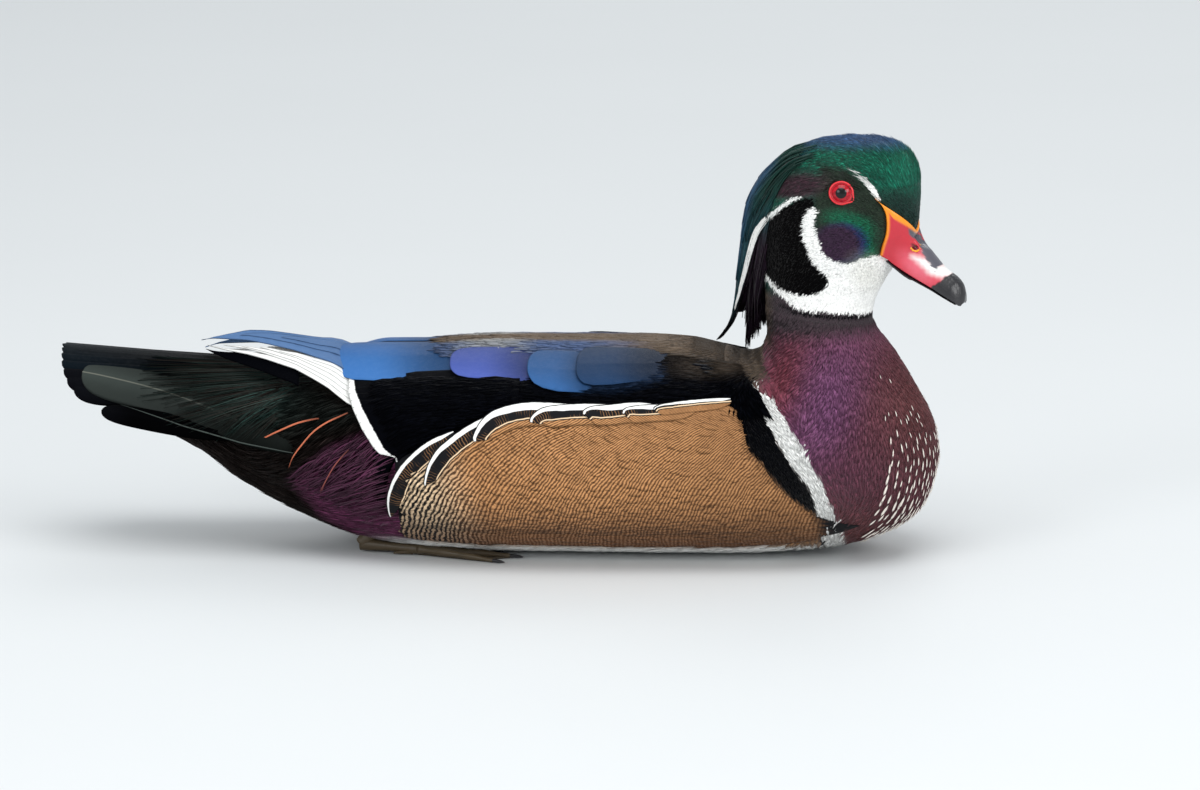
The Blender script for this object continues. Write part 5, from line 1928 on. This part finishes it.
def make_legs():
    """Legs folded forward under the belly, with webbed and clawed feet flat on the ground."""
    c = paints()
    horn = horn_material("leg_skin", 0.5, 0.1, 700.0, 0.0003)
    made = Gathered()
    hock, joint, knee = np.array([-72, -20, 3.6]), np.array([-44, -27, 2.8]), np.array([-50, -21, 26.0])
    toes = [(np.array([-6, -20, 0.9]), 2.1), (np.array([4, -32, 0.9]), 2.3), (np.array([-4, -44, 0.9]), 2.1)]

    def bar(line, radii, sides=16, count=20, knuckles=0, tint=c.foot):
        """A limb or toe through a few points, with the given radii along it."""
        t = np.linspace(0, 1, count)
        spine = splined(np.array(line, float), t * (len(line) - 1))
        knobs = 1 + 0.14 * np.cos(t * knuckles * 2 * math.pi) * (knuckles > 0)
        r = np.interp(t, np.linspace(0, 1, len(radii)), radii) * knobs
        along = unit(np.gradient(spine, axis=0))
        up = unit(np.cross(along, [0, 1.0, 0.02]))
        side = np.cross(along, up)
        cos, sin = (f(circle(sides))[None, :, None] for f in (np.cos, np.sin))
        rings = spine[:, None] + r[:, None, None] * (cos * side[:, None] + sin * up[:, None])
        rings[..., 2] = np.maximum(rings[..., 2], 0.02)
        points, faces = lofted(rings)
        made.add(points, faces, tint=tint)

    bar([joint, hock * 0.5 + joint * 0.5, hock], [2.5, 2.2, 3.2])
    bar([hock, hock * 0.5 + knee * 0.5, knee], [3.2, 4.6, 7.0])
    for tip, thick in toes:
        bar([joint, joint * 0.5 + tip * 0.5 + [0, 0, 0.3], joint * 0.08 + tip * 0.92],
            [thick, thick * 0.8, thick * 0.45], knuckles=3)
        bar([joint * 0.1 + tip * 0.9, tip * 1.0, tip + [2.5, 0, -0.4]], [1.0, 0.8, 0.1], 10, 10, tint=c.nail)
    bar([joint * 0.9 + hock * 0.1 - [0, 0, 1.4], np.array([-56, -27, 0.8])], [1.5, 0.4], 12)
    for (a, _), (b, _) in zip(toes[:-1], toes[1:]):
        low, high = [], []
        for t in np.arange(12) / 11:
            edge_a, edge_b = joint + (a - joint) * 0.92 * t, joint + (b - joint) * 0.92 * t
            row = np.array([edge_a * (1 - s) + edge_b * s - (a - joint) * 0.09 * t * math.sin(math.pi * s)
                            for s in np.linspace(0, 1, 9)])
            low.append(np.stack([row[:, 0], row[:, 1], np.full(9, 0.03)], 1))
            high.append(np.stack([row[:, 0], row[:, 1], np.full(9, 0.75)], 1))
        points, faces = shell(np.array(low), np.array(high))
        made.add(points, faces, tint=c.foot * 0.62)
    made.made_pair("leg_and_foot", horn, "leg", slot="skin_of_the_legs")


def make_stage():
    """The pale floor, the soft lights and the camera at the photograph's angle."""
    scene = bpy.context.scene
    made, tree, shader = new_material("pale_floor", {"Roughness": 0.7})
    c = scene.duck_colours.floor
    feed(tree, shader, "Base Color", mixed(tree, noise(tree, 3, 3), c, tuple(0.97 * v for v in c)))
    around = circle(96)
    mesh = bpy.data.meshes.new("floor")
    mesh.from_pydata([(12 * math.cos(a), 12 * math.sin(a), -0.0002) for a in around], [], [list(range(96))])
    mesh.materials.append(made)
    floor = bpy.data.objects.new("floor", mesh)
    scene.collection.objects.link(floor)
    world = bpy.data.worlds.new("pale_sky")
    world.use_nodes = True
    world.node_tree.nodes["Background"].inputs[0].default_value = (0.86, 0.9, 0.93, 1)
    world.node_tree.nodes["Background"].inputs[1].default_value = 0.62
    scene.world = world
    scene.view_settings.view_transform = "Standard"
    for name, spot_at, size, power in (("overhead", (0.1, -0.7, 2.2), 2.0, 24),
                                       ("front_left", (-1.6, -2.2, 1.2), 1.4, 20),
                                       ("front_right", (2.2, -1.6, 1.2), 1.4, 26),
                                       ("behind", (0.4, 2.4, 1.8), 1.6, 12)):
        light = bpy.data.lights.new(name, "AREA")
        light.shape, light.size, light.energy = "DISK", size, power
        lamp = bpy.data.objects.new(name, light)
        lamp.location = spot_at
        d = np.array([0.05, 0, 0.09]) - np.array(spot_at)
        lamp.rotation_euler = (math.acos(-d[2] / np.linalg.norm(d)), 0, math.atan2(d[1], d[0]) - math.pi / 2)
        scene.collection.objects.link(lamp)
    # the camera stands a little behind the bird's side and above it, and looks at the middle of the picture
    az, el, away = math.radians(3.5), math.radians(11), 4.0
    right, back = np.array([math.cos(az), math.sin(az), 0]), np.array([math.sin(az), -math.cos(az), 0])
    toward = back * math.cos(el) + np.array([0, 0, math.sin(el)])
    up = np.cross(toward, right)
    aim = right * 0.04104 + up * 0.07156
    lens = bpy.data.cameras.new("photo_camera")
    lens.sensor_width, lens.lens, lens.clip_end = 36, 250, 60
    camera = bpy.data.objects.new("photo_camera", lens)
    camera.location = aim + toward * away
    camera.rotation_euler = (math.pi / 2 - el, 0, az)
    scene.collection.objects.link(camera)
    scene.camera = camera


# Operators, one for each piece or group of like pieces

def operator(name, label, words, make):
    """An operator that makes one group of pieces."""
    def execute(self, context):
        make()
        return {"FINISHED"}
    return type("DUCK_OT_" + name, (bpy.types.Operator,), {
        "bl_idname": "duck." + name, "bl_label": label, "__doc__": words, "bl_options": {"REGISTER", "UNDO"},
        "execute": execute})


OPERATORS = [
    operator("skin", "Skin", "Make the one skin of rump, torso, breast, neck and head", make_skin),
    operator("head_coat", "Head feathers", "Grow the small feathers of the face, crown and throat", make_head_coat),
    operator("body_coat", "Body feathers", "Grow the feathers of the neck, breast, rump, belly and mantle",
             make_body_coat),
    operator("flecks", "Breast flecks", "Set the white flecks of the breast", make_flecks),
    operator("crest", "Crest", "Make the long strands of the crest", make_crest),
    operator("tail", "Tail", "Make the tail feathers and their coverts", make_tail),
    operator("plumes", "Rump plumes", "Make the thin orange and purple plumes of the rump", make_plumes),
    operator("wings", "Wings", "Make the folded wings, feather by feather", make_wings),
    operator("flanks", "Flanks", "Make the fine-lined feathers of the flanks", make_flanks),
    operator("bill", "Bill", "Make the upper and lower halves of the bill", make_bill),
    operator("eyes", "Eyes", "Make the eyes and their bare red rings", make_eyes),
    operator("legs", "Legs and feet", "Make the folded legs and webbed feet", make_legs),
    operator("stage", "Stage", "Set the floor, the lights and the camera", make_stage),
]


class DUCK_PT_pieces(bpy.types.Panel):
    """The duck's pieces, sizes and colours"""
    bl_label = "Wood Duck"
    bl_idname = "DUCK_PT_pieces"
    bl_space_type = "VIEW_3D"
    bl_region_type = "UI"
    bl_category = "Wood Duck"

    def draw(self, context):
        for made in OPERATORS:
            self.layout.operator(made.bl_idname)
        for group_of in (context.scene.duck_sizes, context.scene.duck_colours):
            box = self.layout.box()
            for key in type(group_of).__annotations__:
                box.prop(group_of, key)


CLASSES = [DuckSizes, DuckColours, *OPERATORS, DUCK_PT_pieces]


def register():
    for made in CLASSES:
        bpy.utils.register_class(made)
    bpy.types.Scene.duck_sizes = PointerProperty(type=DuckSizes)
    bpy.types.Scene.duck_colours = PointerProperty(type=DuckColours)


def unregister():
    del bpy.types.Scene.duck_colours
    del bpy.types.Scene.duck_sizes
    for made in reversed(CLASSES):
        bpy.utils.unregister_class(made)


def main():
    register()
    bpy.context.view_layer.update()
    for made in OPERATORS:
        getattr(bpy.ops.duck, made.bl_idname.split(".")[1])()


if __name__ == "__main__":
    main()
